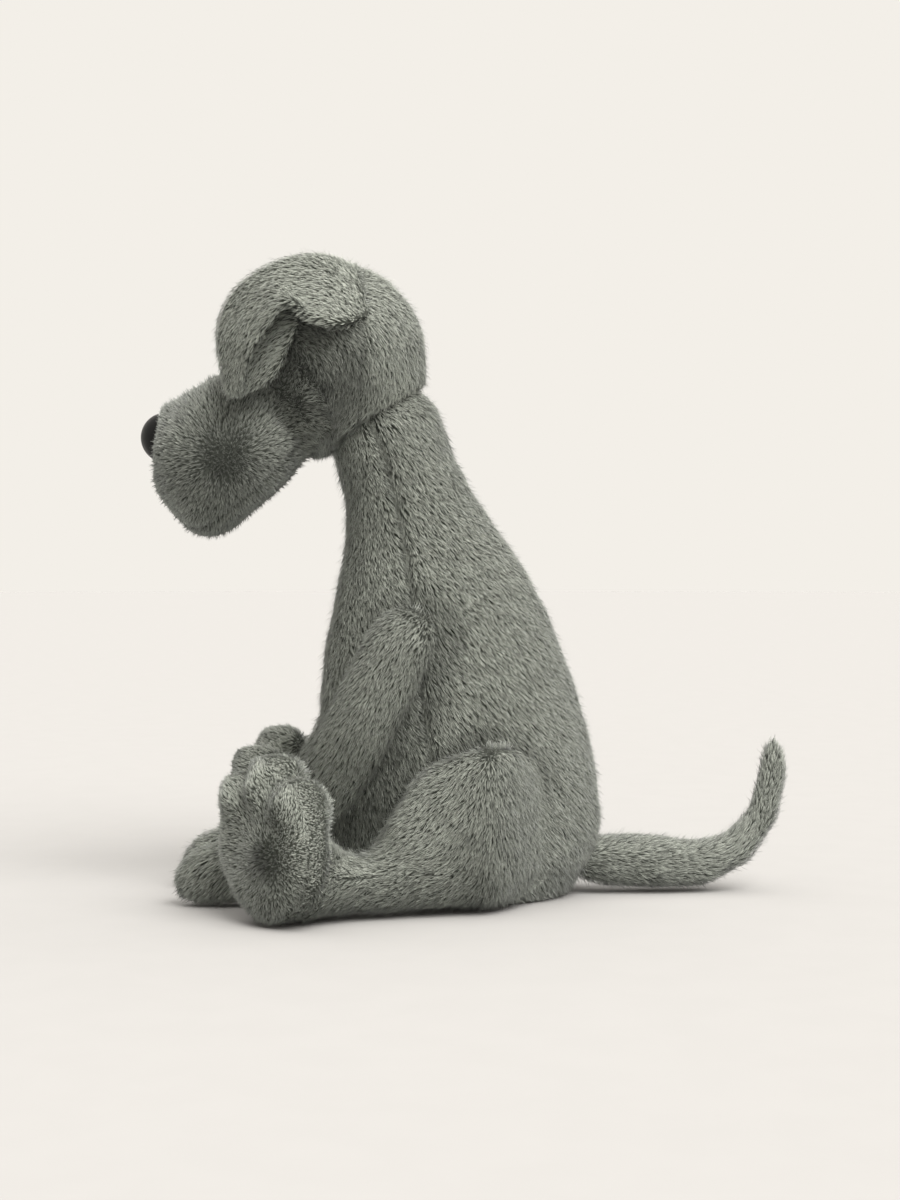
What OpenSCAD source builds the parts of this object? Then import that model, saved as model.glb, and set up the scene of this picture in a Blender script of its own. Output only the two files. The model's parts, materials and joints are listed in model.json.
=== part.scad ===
// Sitting plush dog: sewn plush panels over fibre stuffing, with a pellet bag in the seat,
// a plastic nose and plastic eyes held by lock washers, and a head, ears, limbs and a tail
// that hang on sewn seams. The dog faces -Y, its left side is +X, and the origin is on the
// ground under the middle of the seat.

/* [Sewing] */
// Thickness of the plush cloth, backing and dense pile together
cloth_t = 3; // [2:0.5:4]
// Gap between pieces that move against each other
joint_gap = 0.6; // [0.4:0.1:1]
// Gap between the cloth and what fills it
fill_gap = 0.2; // [0.1:0.1:0.5]

/* [Body] */
// Depth of the flat seat, front to back
seat_depth = 104; // [90:1:112]
// Width of the flat seat
seat_width = 76; // [64:1:84]
// Height of the widest part of the hips
hip_h = 42; // [34:1:52]
// Depth of the body at the hips
hip_depth = 128; // [118:1:136]
// Width of the body at the hips
hip_width = 92; // [84:1:100]
// Height of the belly's middle
belly_h = 88; // [78:1:98]
// Depth of the body at the belly
belly_depth = 122; // [114:1:132]
// Width of the body at the belly
belly_width = 88; // [80:1:96]
// Height of the shoulders
shoulder_h = 134; // [126:1:142]
// Depth of the body at the shoulders
shoulder_depth = 98; // [92:1:106]
// Width of the body at the shoulders
shoulder_width = 74; // [68:1:80]
// Height of the throat's middle
throat_h = 184; // [176:1:190]
// Depth of the neck at the throat
throat_depth = 58; // [54:1:62]
// Width of the neck at the throat
throat_width = 55; // [52:1:58]
// Height of the middle of the neck's round top
neck_h = 213.5; // [208:0.5:222]
// Diameter of the neck's round top
neck_d = 54; // [50:1:56]
// How far the neck's round top leans forward of the seat's middle
neck_lean = 29.5; // [22:0.5:36]
// Forward tilt of the neck's round top, degrees
neck_tilt = 30; // [20:1:36]

/* [Head] */
// Width of the skull
skull_w = 88; // [82:1:94]
// Length of the skull, front to back
skull_l = 90; // [84:1:96]
// Height of the skull
skull_h = 91; // [86:1:96]
// How far the skull's middle lies forward of the neck's round top
skull_fwd = 26; // [22:0.5:30]
// How far the skull's middle lies above the neck's round top
skull_up = 36.5; // [33:0.5:40]

/* [Muzzle] */
// Length of the muzzle from its middle to its front
muzzle_front = 42; // [38:0.5:46]
// Width of the muzzle
muzzle_w = 64; // [58:1:70]
// Depth of the muzzle, top to bottom
muzzle_h = 65; // [60:1:70]
// How far the muzzle's middle lies forward of the skull's middle
muzzle_fwd = 47; // [44:0.5:50]
// How far the muzzle's middle lies below the skull's middle
muzzle_drop = 41; // [38:0.5:44]
// Downward slope of the muzzle, degrees
muzzle_slope = 37.5; // [30:0.5:44]

/* [Nose and eyes] */
// Diameter of the nose button
nose_d = 22; // [18:0.5:26]
// Height of the nose button's dome
nose_dome = 8; // [7:0.5:11]
// How far the nose's foot lies forward of the muzzle's middle
nose_fwd = 32.5; // [31:0.5:34]
// How far the nose lies above the muzzle's middle
nose_up = 3; // [0:0.5:6]
// Diameter of the eyes
eye_d = 12; // [9:0.5:14]
// Height of an eye's dome
eye_dome = 5.5; // [4:0.5:7]
// Diameter of the stems of nose and eyes
stem_d = 4.5; // [3.5:0.5:6]
// Length of the stems
stem_len = 14; // [11:0.5:16]
// Diameter of the lock washers
washer_d = 15; // [12:0.5:18]
// Thickness of the lock washers
washer_t = 1.6; // [1:0.2:2.4]
// Gap between a stem and its washer's bore
stem_gap = 0.1; // [0.05:0.05:0.3]

/* [Ears] */
// Length of an ear along its fold
ear_len = 100; // [90:1:108]
// Height of an ear's hollow at the root
ear_root = 34; // [30:1:37]
// Height of an ear's hollow at the fold
ear_fold = 27; // [24:1:30]
// Height of an ear's hollow above the tip
ear_end = 17; // [14:1:20]
// Half the spread of an ear across its hollow
ear_spread = 15; // [12:0.5:17]
// Clearance between an ear and the side of the skull
ear_clear = 3; // [2:0.5:6]

/* [Arms] */
// Height of the shoulder seam's middle
arm_h = 124; // [118:1:130]
// How far the shoulder seam lies forward of the seat's middle
arm_fwd = 22; // [16:1:26]
// Width of an arm, seen from the side
arm_w = 36; // [30:1:40]
// Thickness of an arm, seen from the front
arm_t = 24; // [21:1:26]
// Distance from the shoulder seam forward to the wrist
wrist_fwd = 46; // [42:1:50]
// Length of a paw in front of the wrist
paw_len = 57; // [50:1:62]
// Height of a paw
paw_h = 34; // [30:1:38]
// Distance of a paw's middle from the middle of the dog
paw_side = 24; // [23:1:26]

/* [Legs] */
// Diameter of a thigh
thigh_d = 76; // [68:1:82]
// How far a thigh's middle lies behind the seat's middle
thigh_back = 8; // [2:1:14]
// How far a thigh stands out from the body's side
thigh_out = 25; // [20:1:28]
// Distance from the thigh's middle forward to the sole
leg_len = 98; // [94:1:102]
// Distance of a sole's middle from the middle of the dog
foot_side = 86; // [85:1:89]
// Thickness of the shin
shin_d = 31; // [28:1:36]
// Outward splay of a leg, degrees
leg_splay = 40; // [36:1:44]
// Height of a foot
foot_h = 69; // [62:1:74]
// Width of a foot
foot_w = 62; // [58:1:66]
// Depth of the two folds between the toes, as a share of the foot
toe_fold = 0.09; // [0.04:0.01:0.12]

/* [Tail] */
// Diameter of the tail's round root
tail_d = 27; // [24:1:29]
// Height of the tail's root above the ground
tail_h = 15; // [14.5:0.5:20]
// Length of the tail that lies on the ground
tail_run = 62; // [54:1:70]
// Height of the tail's raised tip
tail_tip_h = 73; // [64:1:80]
// Diameter of the tail just under its tip
tail_tip_d = 14; // [11:0.5:17]

/* [Filling] */
// Diameter of the pellet bag in the seat
pellet_d = 62; // [50:1:66]
// Height of the pellet bag
pellet_h = 30; // [22:1:36]

/* [Hidden] */

plush = "#82857b";
lining = "#6f7269";
fibre = "#efece4";
black = "#17171a";
clear_plastic = "#d9dad6";
bag = "#c9c4b6";

body_sides = 24;
limb_sides = 14;
fine = 64;
probe = 1;
nudge = 0.02;
least = 0.3;

// A smooth curve through the values ys at the places xs
function span(xs, x, i = 0) = i >= len(xs) - 2 || x < xs[i + 1] ? i : span(xs, x, i + 1);
function steep(xs, ys, i) =
    let (a = max(0, i - 1), b = min(len(xs) - 1, i + 1))
    (ys[b] - ys[a]) / (xs[b] - xs[a]);
function curve(xs, ys, x) =
    let (i = span(xs, x), w = xs[i + 1] - xs[i], t = (x - xs[i]) / w)
    (2 * t^3 - 3 * t^2 + 1) * ys[i] + (t^3 - 2 * t^2 + t) * w * steep(xs, ys, i)
    + (3 * t^2 - 2 * t^3) * ys[i + 1] + (t^3 - t^2) * w * steep(xs, ys, i + 1);
function unit(v) = v / norm(v);
function flip(p) = [-p[0], p[1], p[2]];

// Faces over a list of rings, where a ring of one point is a pole
function starts(rows) = [for (j = 0, s = 0; j < len(rows); s = s + len(rows[j]), j = j + 1) s];
function place(row, start, i) = start + (len(row) == 1 ? 0 : i % len(row));
function skin(rows, first, closed) =
    let (st = starts(rows)) [
        for (j = [0 : len(rows) - 2])
        let (a = rows[j], b = rows[j + 1], n = max(len(a), len(b)))
        for (i = [0 : n - (closed ? 1 : 2)])
        let (
            a0 = first + place(a, st[j], i),
            a1 = first + place(a, st[j], i + 1),
            b0 = first + place(b, st[j + 1], i),
            b1 = first + place(b, st[j + 1], i + 1)
        )
        each concat(a0 == a1 ? [] : [[a0, a1, b1]], b0 == b1 ? [] : [[a0, b1, b0]])
    ];
function turned(faces) = [for (f = faces) [f[0], f[2], f[1]]];

// Triangles of a strip between two equally long lists of vertex numbers
function strip(a, b, closed) = [
    for (i = [0 : len(a) - (closed ? 1 : 2)])
    let (k = (i + 1) % len(a))
    each [[a[i], b[k], a[k]], [a[i], b[i], b[k]]]
];
function row_numbers(rows, j, first) =
    let (s = starts(rows)[j])
    [for (i = [0 : len(rows[j]) - 1]) first + s + i];
function edge_numbers(rows, last, first) =
    let (st = starts(rows))
    [for (j = [0 : len(rows) - 1]) first + st[j] + (last ? len(rows[j]) - 1 : 0)];

// A solid filling a list of rings
module filled(rows) {
    st = starts(rows);
    low = len(rows[0]) == 1 ? [] : [[for (i = [0 : len(rows[0]) - 1]) i]];
    top = rows[len(rows) - 1];
    high = len(top) == 1 ? [] : [[for (i = [len(top) - 1 : -1 : 0]) st[len(rows) - 1] + i]];
    polyhedron([for (r = rows) each r], concat(turned(skin(rows, 0, true)), low, high));
}

// A cloth panel: rings from to to and columns left to right of an outer and an inner set of rings
function cut_out(rings, from, to, left, right, sides) = [
    for (j = [from : to])
    len(rings[j]) == 1 ? rings[j]
    : [for (i = [left : right - (right - left == sides ? 1 : 0)]) rings[j][(i + sides) % sides]]
];
module panel(outer, inner, from, to, left, right, sides) {
    o = cut_out(outer, from, to, left, right, sides);
    k = cut_out(inner, from, to, left, right, sides);
    closed = right - left == sides;
    second = len([for (r = o) each r]);
    last = len(o) - 1;
    ends = concat(
        len(o[0]) == 1 ? [] : turned(strip(row_numbers(o, 0, 0), row_numbers(k, 0, second), closed)),
        len(o[last]) == 1 ? [] : strip(row_numbers(o, last, 0), row_numbers(k, last, second), closed)
    );
    edges = closed ? [] : concat(
        strip(edge_numbers(o, false, 0), edge_numbers(k, false, second), false),
        turned(strip(edge_numbers(o, true, 0), edge_numbers(k, true, second), false))
    );
    points = concat([for (r = o) each r], [for (r = k) each r]);
    polyhedron(points, concat(turned(skin(o, 0, closed)), skin(k, second, closed), ends, edges));
}

// The body's outline over its height: middle, half depth, half width and tilt
seat_mid = 2;
hip_mid = 6.5;
belly_mid = 0.2;
hip_share = 5 / 6;
throat_share = 0.7;
body_heights = [0, hip_h / 3, hip_h, belly_h, shoulder_h, throat_h, neck_h];
body_values = [
    [seat_mid, seat_depth / 2, seat_width / 2, 0],
    [
        (seat_mid + hip_mid) / 2,
        seat_depth / 2 * (1 - hip_share) + hip_depth / 2 * hip_share,
        seat_width / 2 * (1 - hip_share) + hip_width / 2 * hip_share,
        0
    ],
    [hip_mid, hip_depth / 2, hip_width / 2, 0],
    [belly_mid, belly_depth / 2, belly_width / 2, 0],
    [-neck_lean / 4, shoulder_depth / 2, shoulder_width / 2, neck_tilt / 4],
    [-neck_lean * throat_share, throat_depth / 2, throat_width / 2, neck_tilt * throat_share],
    [-neck_lean, neck_d / 2, neck_d / 2, neck_tilt]
];
function body_at(z) = curve(body_heights, body_values, z);
function body_ring(middle, depth, width, tilt, z, sides) = [
    for (i = [0 : sides - 1])
    let (a = 360 * i / sides)
    [width * sin(a), middle - depth * cos(a) * cos(tilt), z - depth * cos(a) * sin(tilt)]
];
neck = [0, -neck_lean, neck_h];
neck_up = [0, -sin(neck_tilt), cos(neck_tilt)];
body_rows = 13;
dome_steps = [60, 32];
function body_rings(inset, bottom, sides) = concat(
    [
        for (j = [0 : body_rows - 1])
        let (z = bottom + (neck_h - bottom) * j / (body_rows - 1), b = body_at(z))
        body_ring(b[0], b[1] - inset, b[2] - inset, b[3], z, sides)
    ],
    [
        for (p = dome_steps)
        let (r = neck_d / 2 - inset, c = neck + r * cos(p) * neck_up)
        body_ring(c[1], r * sin(p), r * sin(p), neck_tilt, c[2], sides)
    ],
    [[neck + (neck_d / 2 - inset) * neck_up]]
);
// The body's half width at a place on its side, and its back at a height
function body_side(y, z) =
    let (b = body_at(z), low = body_at(z - (y - b[0]) * tan(b[3])))
    low[2] * sqrt(max(0, 1 - ((y - low[0]) / low[1])^2));
function body_back(z) = let (b = body_at(z)) b[0] + b[1];

body_outer = body_rings(0, 0, body_sides);
body_inner = body_rings(cloth_t, 0, body_sides);
body_top = len(body_outer) - 1;
chest_half = 5;
fill_inset = cloth_t + fill_gap;

// The tail's root is a ball that turns in a round opening of the back
tail_sunk = 6;
tail_root = [0, body_back(tail_h) - tail_sunk + tail_d / 2, tail_h];
module tail_opening() {
    translate(tail_root) sphere(d = tail_d + 2 * joint_gap, $fn = fine);
}

module body_panel(left, right) {
    color(plush) difference() {
        panel(body_outer, body_inner, 0, body_top, left, right, body_sides);
        tail_opening();
    }
}
module body_left() body_panel(chest_half, body_sides / 2);
module body_right() body_panel(body_sides / 2, body_sides - chest_half);
module chest() {
    color(plush) panel(body_outer, body_inner, 0, body_top, -chest_half, chest_half, body_sides);
}
module seat() {
    b = body_at(0);
    outline = body_ring(b[0], b[1] - fill_inset, b[2] - fill_inset, 0, 0, body_sides);
    color(plush) linear_extrude(cloth_t) polygon([for (p = outline) [p[0], p[1]]]);
}

// The pellet bag lies on the seat with a rounded rim
module pellet_bag(grow = 0) {
    base = cloth_t + fill_gap - grow;
    r = pellet_d / 2 + grow;
    rim = pellet_h / 3;
    color(bag) translate([0, hip_mid / 2, base]) rotate_extrude($fn = fine) union() {
        square([r - rim, pellet_h + 2 * grow]);
        square([r, pellet_h + 2 * grow - rim]);
        translate([r - rim, pellet_h + 2 * grow - rim]) circle(rim, $fn = fine);
    }
}
module body_stuffing() {
    color(fibre) difference() {
        filled(body_rings(fill_inset, fill_inset, body_sides / 2));
        pellet_bag(fill_gap);
        tail_opening();
    }
}

// The skull is an egg on the neck's round top, open where the neck goes in
skull = neck + [0, -skull_fwd, skull_up];
skull_r = [skull_w / 2, skull_l / 2, skull_h / 2];
head_sides = 20;
head_rows = 10;
seam_row = 4;
function egg_point(r, p, a) = skull + [r[0] * sin(p) * sin(a), r[1] * cos(p), -r[2] * sin(p) * cos(a)];
function skull_rings(inset, sides) =
    let (r = skull_r - inset * [1, 1, 1])
    concat(
        [[egg_point(r, 0, 0)]],
        [
            for (j = [1 : head_rows - 1])
            [for (i = [0 : sides - 1]) egg_point(r, 180 * j / head_rows, 360 * i / sides)]
        ],
        [[egg_point(r, 180, 0)]]
    );
skull_outer = skull_rings(0, head_sides);
skull_inner = skull_rings(cloth_t, head_sides);
module neck_opening(gap) {
    translate(neck) sphere(d = neck_d + 2 * gap, $fn = fine);
}
module head_panel(from, to, left, right) {
    color(plush) difference() {
        panel(skull_outer, skull_inner, from, to, left, right, head_sides);
        neck_opening(joint_gap);
        if (from > 0) eye_holes();
    }
}
module head_back() head_panel(0, seam_row, 0, head_sides);
module face_left() head_panel(seam_row, head_rows, 0, head_sides / 2);
module face_right() head_panel(seam_row, head_rows, head_sides / 2, head_sides);
module head_stuffing() {
    color(fibre) difference() {
        filled(skull_rings(fill_inset, head_sides / 2));
        neck_opening(joint_gap);
        eye_pockets();
    }
}

// The muzzle is a blunt block that hangs down and forward from the skull
muzzle = skull + [0, -muzzle_fwd, -muzzle_drop];
muzzle_dir = [0, -cos(muzzle_slope), -sin(muzzle_slope)];
muzzle_down = [0, sin(muzzle_slope), -cos(muzzle_slope)];
muzzle_sides = 18;
chin_half = 2;
muzzle_blunt = 2.5;
muzzle_steps = [-0.72, -0.3, 0.1, 0.45, 0.7, 0.87, 0.965];
jowl_sag = 0.14;
muzzle_root = 0.45;
muzzle_round = [3.2, 2.4];
function blunt(c) = sign(c) * pow(abs(c), 2 / muzzle_blunt);
function muzzle_ring(t, inset, sides) =
    let (
        e = t < 0 ? 1 - muzzle_root * t^2 : pow(1 - pow(t, muzzle_round[0]), 1 / muzzle_round[1]),
        c = muzzle + muzzle_dir * t * (muzzle_front - inset) + muzzle_down * jowl_sag * muzzle_h * max(0, t)^2
    )
    [
        for (i = [0 : sides - 1])
        let (a = 360 * i / sides)
        c + [1, 0, 0] * (muzzle_w / 2 - inset) * e * blunt(sin(a))
          + muzzle_down * (muzzle_h / 2 - inset) * e * blunt(cos(a))
    ];
function muzzle_rings(inset, sides) = concat(
    [for (t = muzzle_steps) muzzle_ring(t, inset, sides)],
    [[muzzle + muzzle_dir * (muzzle_front - inset) + muzzle_down * jowl_sag * muzzle_h]]
);
muzzle_outer = muzzle_rings(0, muzzle_sides);
muzzle_inner = muzzle_rings(cloth_t, muzzle_sides);
muzzle_last = len(muzzle_outer) - 1;
module muzzle_seat() {
    translate(skull) sphere(max(skull_r) + fill_gap, $fn = fine);
}
module muzzle_panel(left, right) {
    color(plush) difference() {
        panel(muzzle_outer, muzzle_inner, 0, muzzle_last, left, right, muzzle_sides);
        muzzle_seat();
        nose_place() stem_hole(nose_d);
    }
}
module muzzle_left() muzzle_panel(chin_half, muzzle_sides / 2);
module muzzle_right() muzzle_panel(muzzle_sides / 2, muzzle_sides - chin_half);
module chin() muzzle_panel(-chin_half, chin_half);
module muzzle_stuffing() {
    color(fibre) difference() {
        filled(muzzle_rings(fill_inset, muzzle_sides / 2));
        muzzle_seat();
        nose_place() stem_pocket();
        nose_place() stem_hole(nose_d);
    }
}

// Depth under a dome's foot at which its washer closes on the cloth
sewn_depth = cloth_t + 1.4;
// Nose and eyes: a moulded dome on a ribbed stem, held inside by a toothed lock washer
module dome_on_stem(d, dome) {
    ball = (d^2 / 4 + dome^2) / (2 * dome);
    rib_pitch = 2;
    rotate_extrude($fn = fine) union() {
        intersection() {
            translate([0, dome - ball]) circle(ball, $fn = fine);
            square([d, dome]);
        }
        translate([0, -stem_len]) square([stem_d / 2 - stem_gap, stem_len]);
        for (z = [rib_pitch : rib_pitch : stem_len - cloth_t - washer_t - rib_pitch])
            translate([0, -stem_len + z]) square([stem_d / 2, rib_pitch / 2]);
    }
}
washer_teeth = 6;
tooth_slit = 0.6;
module lock_washer() {
    translate([0, 0, -sewn_depth - washer_t]) difference() {
        cylinder(d = washer_d, h = washer_t, $fn = fine);
        translate([0, 0, -1]) cylinder(d = stem_d + 2 * stem_gap, h = washer_t + 2, $fn = fine);
        for (i = [0 : washer_teeth - 1])
            rotate(360 * i / washer_teeth)
                translate([stem_d / 2, -tooth_slit / 2, -1]) cube([washer_d / 6, tooth_slit, washer_t + 2]);
    }
}
module stem_hole(d) {
    translate([0, 0, -stem_len]) cylinder(d = stem_d + 2 * fill_gap, h = 2 * stem_len, $fn = fine);
    cylinder(d = d + 2 * fill_gap, h = stem_len, $fn = fine);
}
module stem_pocket() {
    translate([0, 0, -stem_len - fill_gap])
        cylinder(d = stem_d + 2 * fill_gap, h = 2 * stem_len, $fn = fine);
    translate([0, 0, -sewn_depth - washer_t - fill_gap])
        cylinder(d = washer_d + 2 * fill_gap, h = stem_len, $fn = fine);
}
// The nose sits on the upper front of the muzzle and points forward
nose_at = muzzle + [0, -nose_fwd, nose_up];
module nose_place() {
    translate(nose_at) rotate([90, 0, 0]) children();
}
module nose() {
    color(black) nose_place() dome_on_stem(nose_d, nose_dome);
}
module nose_washer() {
    color(clear_plastic) nose_place() lock_washer();
}
// The eyes sit on the face beside the top of the muzzle
eye_turn = 146;
eye_climb = 96;
eye_sink = 0.6;
eye_at = egg_point(skull_r, eye_turn, eye_climb);
eye_normal = unit([for (i = [0 : 2]) (eye_at - skull)[i] / skull_r[i]^2]);
module eye_place(side) {
    n = side > 0 ? eye_normal : flip(eye_normal);
    p = side > 0 ? eye_at : flip(eye_at);
    translate(p - eye_sink * n)
        rotate([0, acos(n[2]), atan2(n[1], n[0])]) children();
}
module eye_holes() {
    for (side = [-1, 1]) eye_place(side) stem_hole(eye_d);
}
module eye_pockets() {
    for (side = [-1, 1]) eye_place(side) stem_pocket();
}
module eye(side) {
    color(black) eye_place(side) dome_on_stem(eye_d, eye_dome);
}
module eye_washer(side) {
    color(clear_plastic) eye_place(side) lock_washer();
}

// An ear is a bent trough of two cloths that rises from the back of the skull and folds forward and down
ear_base = skull + [0, skull_l * 0.16, skull_h * 0.137];
ear_places = [0, 0.3, 0.55, 0.8, 1];
ear_line = [
    ear_base,
    ear_base + ear_len * [0, -0.22, -0.02],
    ear_base + ear_len * [0, -0.42, -0.03],
    ear_base + ear_len * [0, -0.51, -0.19],
    ear_base + ear_len * [0, -0.52, -0.36]
];
ear_heights = [ear_root * 0.9, ear_root, ear_fold, ear_end, ear_end * 0.4];
ear_rows = 9;
ear_columns = 6;
ear_from = -28;
ear_to = 88;
function ear_up(t) =
    let (d = curve(ear_places, ear_line, min(1, t + nudge)) - curve(ear_places, ear_line, max(0, t - nudge)))
    unit(cross([1, 0, 0], d) * -1);
ear_lean = 6;
ear_wrap = 0.62;
ear_taper = 0.35;
function ear_out(t) = skull_w / 2 + ear_clear + cloth_t * 2 - ear_spread * ear_wrap + ear_lean * t;
function ear_point(t, a, lift) =
    let (
        h = curve(ear_places, ear_heights, t) + lift,
        s = ear_spread * (1 - ear_taper * t^4) + lift,
        c = curve(ear_places, ear_line, t)
    )
    c + [ear_out(t) - ear_spread + s * sin(a), 0, 0] + ear_up(t) * h * cos(a);
function ear_rows_at(lift) = [
    for (j = [0 : ear_rows])
    [
        for (i = [0 : ear_columns])
        ear_point(j / ear_rows, ear_from + (ear_to - ear_from) * i / ear_columns, lift)
    ]
];
module ear_sheet(outside, inside, side) {
    o = ear_rows_at(outside);
    k = ear_rows_at(inside);
    turn = side > 0 ? [0, 0, 0] : [1, 0, 0];
    difference() {
        mirror(turn) panel(o, k, 0, ear_rows, 0, ear_columns, ear_columns + 1);
        translate(skull) sphere(max(skull_r) + 3 * joint_gap, $fn = fine);
    }
}
module ear_outer(side) {
    color(plush) ear_sheet(0, -cloth_t, side);
}
module ear_lining(side) {
    color(lining) ear_sheet(-cloth_t, -2 * cloth_t, side);
}

// Rings along a limb: stations give the middle, the half size across and the half size upright
limb_rows = 11;
function spread(j, rows) = (1 - cos(180 * j / rows)) / 2;
function cap(d, r) = d >= r ? 1 : sqrt(max(0, 1 - (1 - d / r)^2));
function limb_ring(xs, line, t, across, grow, sides, lobes) =
    let (
        s = curve(xs, line, t),
        d = curve(xs, line, min(1, t + nudge)) - curve(xs, line, max(0, t - nudge)),
        ahead = lobes < 0 ? unit([d[0], d[1], d[2]]) : unit([d[0], d[1], 0]),
        up = unit(cross(across, ahead)),
        side = cross(ahead, up)
    )
    [
        for (i = [0 : sides - 1])
        let (a = 360 * i / sides, toe = 1 - max(0, lobes) * max(0, sin(a)) * (1 - abs(cos(3 * (a - 90)))))
        [s[0], s[1], s[2]] + side * max(least, s[3] * grow[0] - grow[1]) * toe * cos(a)
            + up * max(least, s[4] * grow[0] - grow[1]) * toe * sin(a)
    ];
function limb_rings(xs, line, across, caps, inset, sides, lobes) =
    let (
        length = norm([for (i = [0 : 2]) line[len(line) - 1][i] - line[0][i]]),
        from = inset / length,
        to = 1 - inset / length
    )
    concat(
        [[[for (i = [0 : 2]) curve(xs, line, from)[i]]]],
        [
            for (j = [1 : limb_rows - 1])
            let (
                u = spread(j, limb_rows),
                t = from + (to - from) * u,
                g = cap(u, caps[0]) * cap(1 - u, caps[1])
            )
            limb_ring(xs, line, t, across, [g, inset * g], sides, lobes < 0 ? -1 : lobes * max(0, 2 * u - 1))
        ],
        [[[for (i = [0 : 2]) curve(xs, line, to)[i]]]]
    );

// The arm hangs on a seam; its axis leans with the body's side, but less, so that the paws swing past each other
arm_side = body_side(-arm_fwd, arm_h);
arm_slope = [
    body_side(-arm_fwd - probe, arm_h) - body_side(-arm_fwd + probe, arm_h),
    body_side(-arm_fwd, arm_h - probe) - body_side(-arm_fwd, arm_h + probe)
] / (2 * probe);
arm_turn = 0.4;
arm_axis = unit([1, arm_slope[0] * arm_turn, arm_slope[1] * arm_turn]);
arm_clear = arm_w / 2 * norm(arm_slope) * (1 - arm_turn);
arm_seam = [arm_side + arm_clear, -arm_fwd, arm_h];
arm_seat_r = 400;
wrist = [paw_side + arm_t / 8, -arm_fwd - wrist_fwd, paw_h * 0.95];
arm_places = [0, 0.14, 0.32, 0.52, 0.7, 0.86, 1];
arm_line = [
    concat(arm_seam + [arm_t * 0.13, arm_w / 6, arm_w / 3], [arm_t / 2, arm_w / 2]),
    concat(arm_seam + [arm_t * 0.19, 0, 0], [arm_t * 0.46, arm_w / 2]),
    concat(arm_seam * 0.72 + wrist * 0.28 + [arm_t * 0.3, 0, 0], [arm_t / 2, arm_w * 0.52]),
    concat(arm_seam * 0.34 + wrist * 0.66 + [arm_t * 0.3, 0, 0], [arm_t / 2, arm_w * 0.5]),
    concat(wrist - [0, paw_len * 0.1, paw_h * 0.12], [arm_t * 0.5, arm_w * 0.46]),
    concat([paw_side, wrist[1] - paw_len * 0.62, paw_h * 0.5], [arm_t * 0.52, paw_h * 0.5]),
    concat([paw_side, wrist[1] - paw_len, paw_h * 0.44], [arm_t * 0.46, paw_h * 0.44])
];
arm_caps = [0.2, 0.14];
ground_size = 600;
module behind(at, normal) {
    translate(at)
        rotate([0, acos(normal[2]), atan2(normal[1], normal[0])])
            translate([-ground_size / 2, -ground_size / 2, -ground_size])
                cube(ground_size);
}
module ground() behind([0, 0, 0], [0, 0, 1]);

// The sewn end follows the body's side in three flat steps down the arm
arm_bend = 8;
arm_run = wrist - arm_seam;
arm_down = unit(arm_run - arm_axis * (arm_run * arm_axis));
module arm_seat() {
    intersection_for (step = [0 : 2]) {
        normal = arm_axis * cos(arm_bend * step) + arm_down * sin(arm_bend * step);
        behind(arm_seam - arm_axis * arm_seat_r + normal * (arm_seat_r + joint_gap), normal);
    }
}
function arm_rings(inset, sides) =
    limb_rings(arm_places, arm_line, [1, 0, 0], arm_caps, inset, sides, -1);
module arm_panel(left, right) {
    color(plush) difference() {
        panel(
            arm_rings(0, limb_sides), arm_rings(cloth_t, limb_sides),
            0, limb_rows, left, right, limb_sides
        );
        arm_seat();
        ground();
    }
}
module arm_filling() {
    color(fibre) difference() {
        filled(arm_rings(fill_inset, half_turn));
        arm_seat();
    }
}
quarter = 4;
half_turn = limb_sides / 2;
module arm_outer() arm_panel(-quarter, half_turn - quarter);
module arm_inner() arm_panel(half_turn - quarter, limb_sides - quarter);

// The leg lies forward on the ground from a round thigh, and turns on an axis across the hips
thigh_r = thigh_d / 2;
hip = [body_side(thigh_back, thigh_r), thigh_back, thigh_r];
splay = [sin(leg_splay), -cos(leg_splay), 0];
foot_across = [cos(leg_splay), sin(leg_splay), 0];
thigh_lap = 6;
thigh_half = thigh_out / 2 + thigh_lap;
thigh_x = hip[0] + thigh_out / 2 - thigh_lap;
foot_mid = foot_h * 0.49;
sole_at = [foot_side, thigh_back - leg_len, foot_mid];
ankle_back = 31;
foot_thick = 23;
ankle = [thigh_x + thigh_half * 0.8, sole_at[1] + ankle_back, shin_d / 2];
leg_places = [0, 0.12, 0.32, 0.5, 0.64, 0.8, 0.92, 1];
leg_line = [
    concat([thigh_x - thigh_half * 0.2, thigh_back + thigh_r, thigh_r], [thigh_half, thigh_r * 0.9]),
    concat([thigh_x, thigh_back + thigh_r * 0.7, thigh_r], [thigh_half, thigh_r * 0.92]),
    concat([thigh_x, thigh_back, thigh_r], [thigh_half, thigh_r]),
    concat(
        [thigh_x + thigh_half * 0.27, thigh_back - thigh_r * 0.72, thigh_r * 0.74],
        [thigh_half * 0.9, thigh_r * 0.74]
    ),
    concat(ankle, [shin_d * 0.52, shin_d / 2]),
    concat(sole_at - splay * foot_thick, [foot_w * 0.46, foot_h * 0.47]),
    concat(sole_at - splay * foot_thick / 3, [foot_w / 2, foot_mid]),
    concat(sole_at, [foot_w * 0.47, foot_h * 0.46])
];
leg_caps = [0.2, 0.08];
sole_row = limb_rows - 1;
shin_slack = 1;
function leg_rings(inset, sides) =
    limb_rings(leg_places, leg_line, foot_across, leg_caps, inset, sides, toe_fold);
module leg_seat() behind(hip + [joint_gap, 0, 0], [1, 0, 0]);
module leg_panel(from, to, left, right) {
    color(plush) difference() {
        panel(
            leg_rings(0, limb_sides), leg_rings(cloth_t, limb_sides),
            from, to, left, right, limb_sides
        );
        leg_seat();
        ground();
    }
}
module leg_outer() leg_panel(0, sole_row, -quarter, half_turn - quarter);
module leg_inner() leg_panel(0, sole_row, half_turn - quarter, limb_sides - quarter);
module sole() leg_panel(sole_row, limb_rows, 0, limb_sides);
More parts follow.
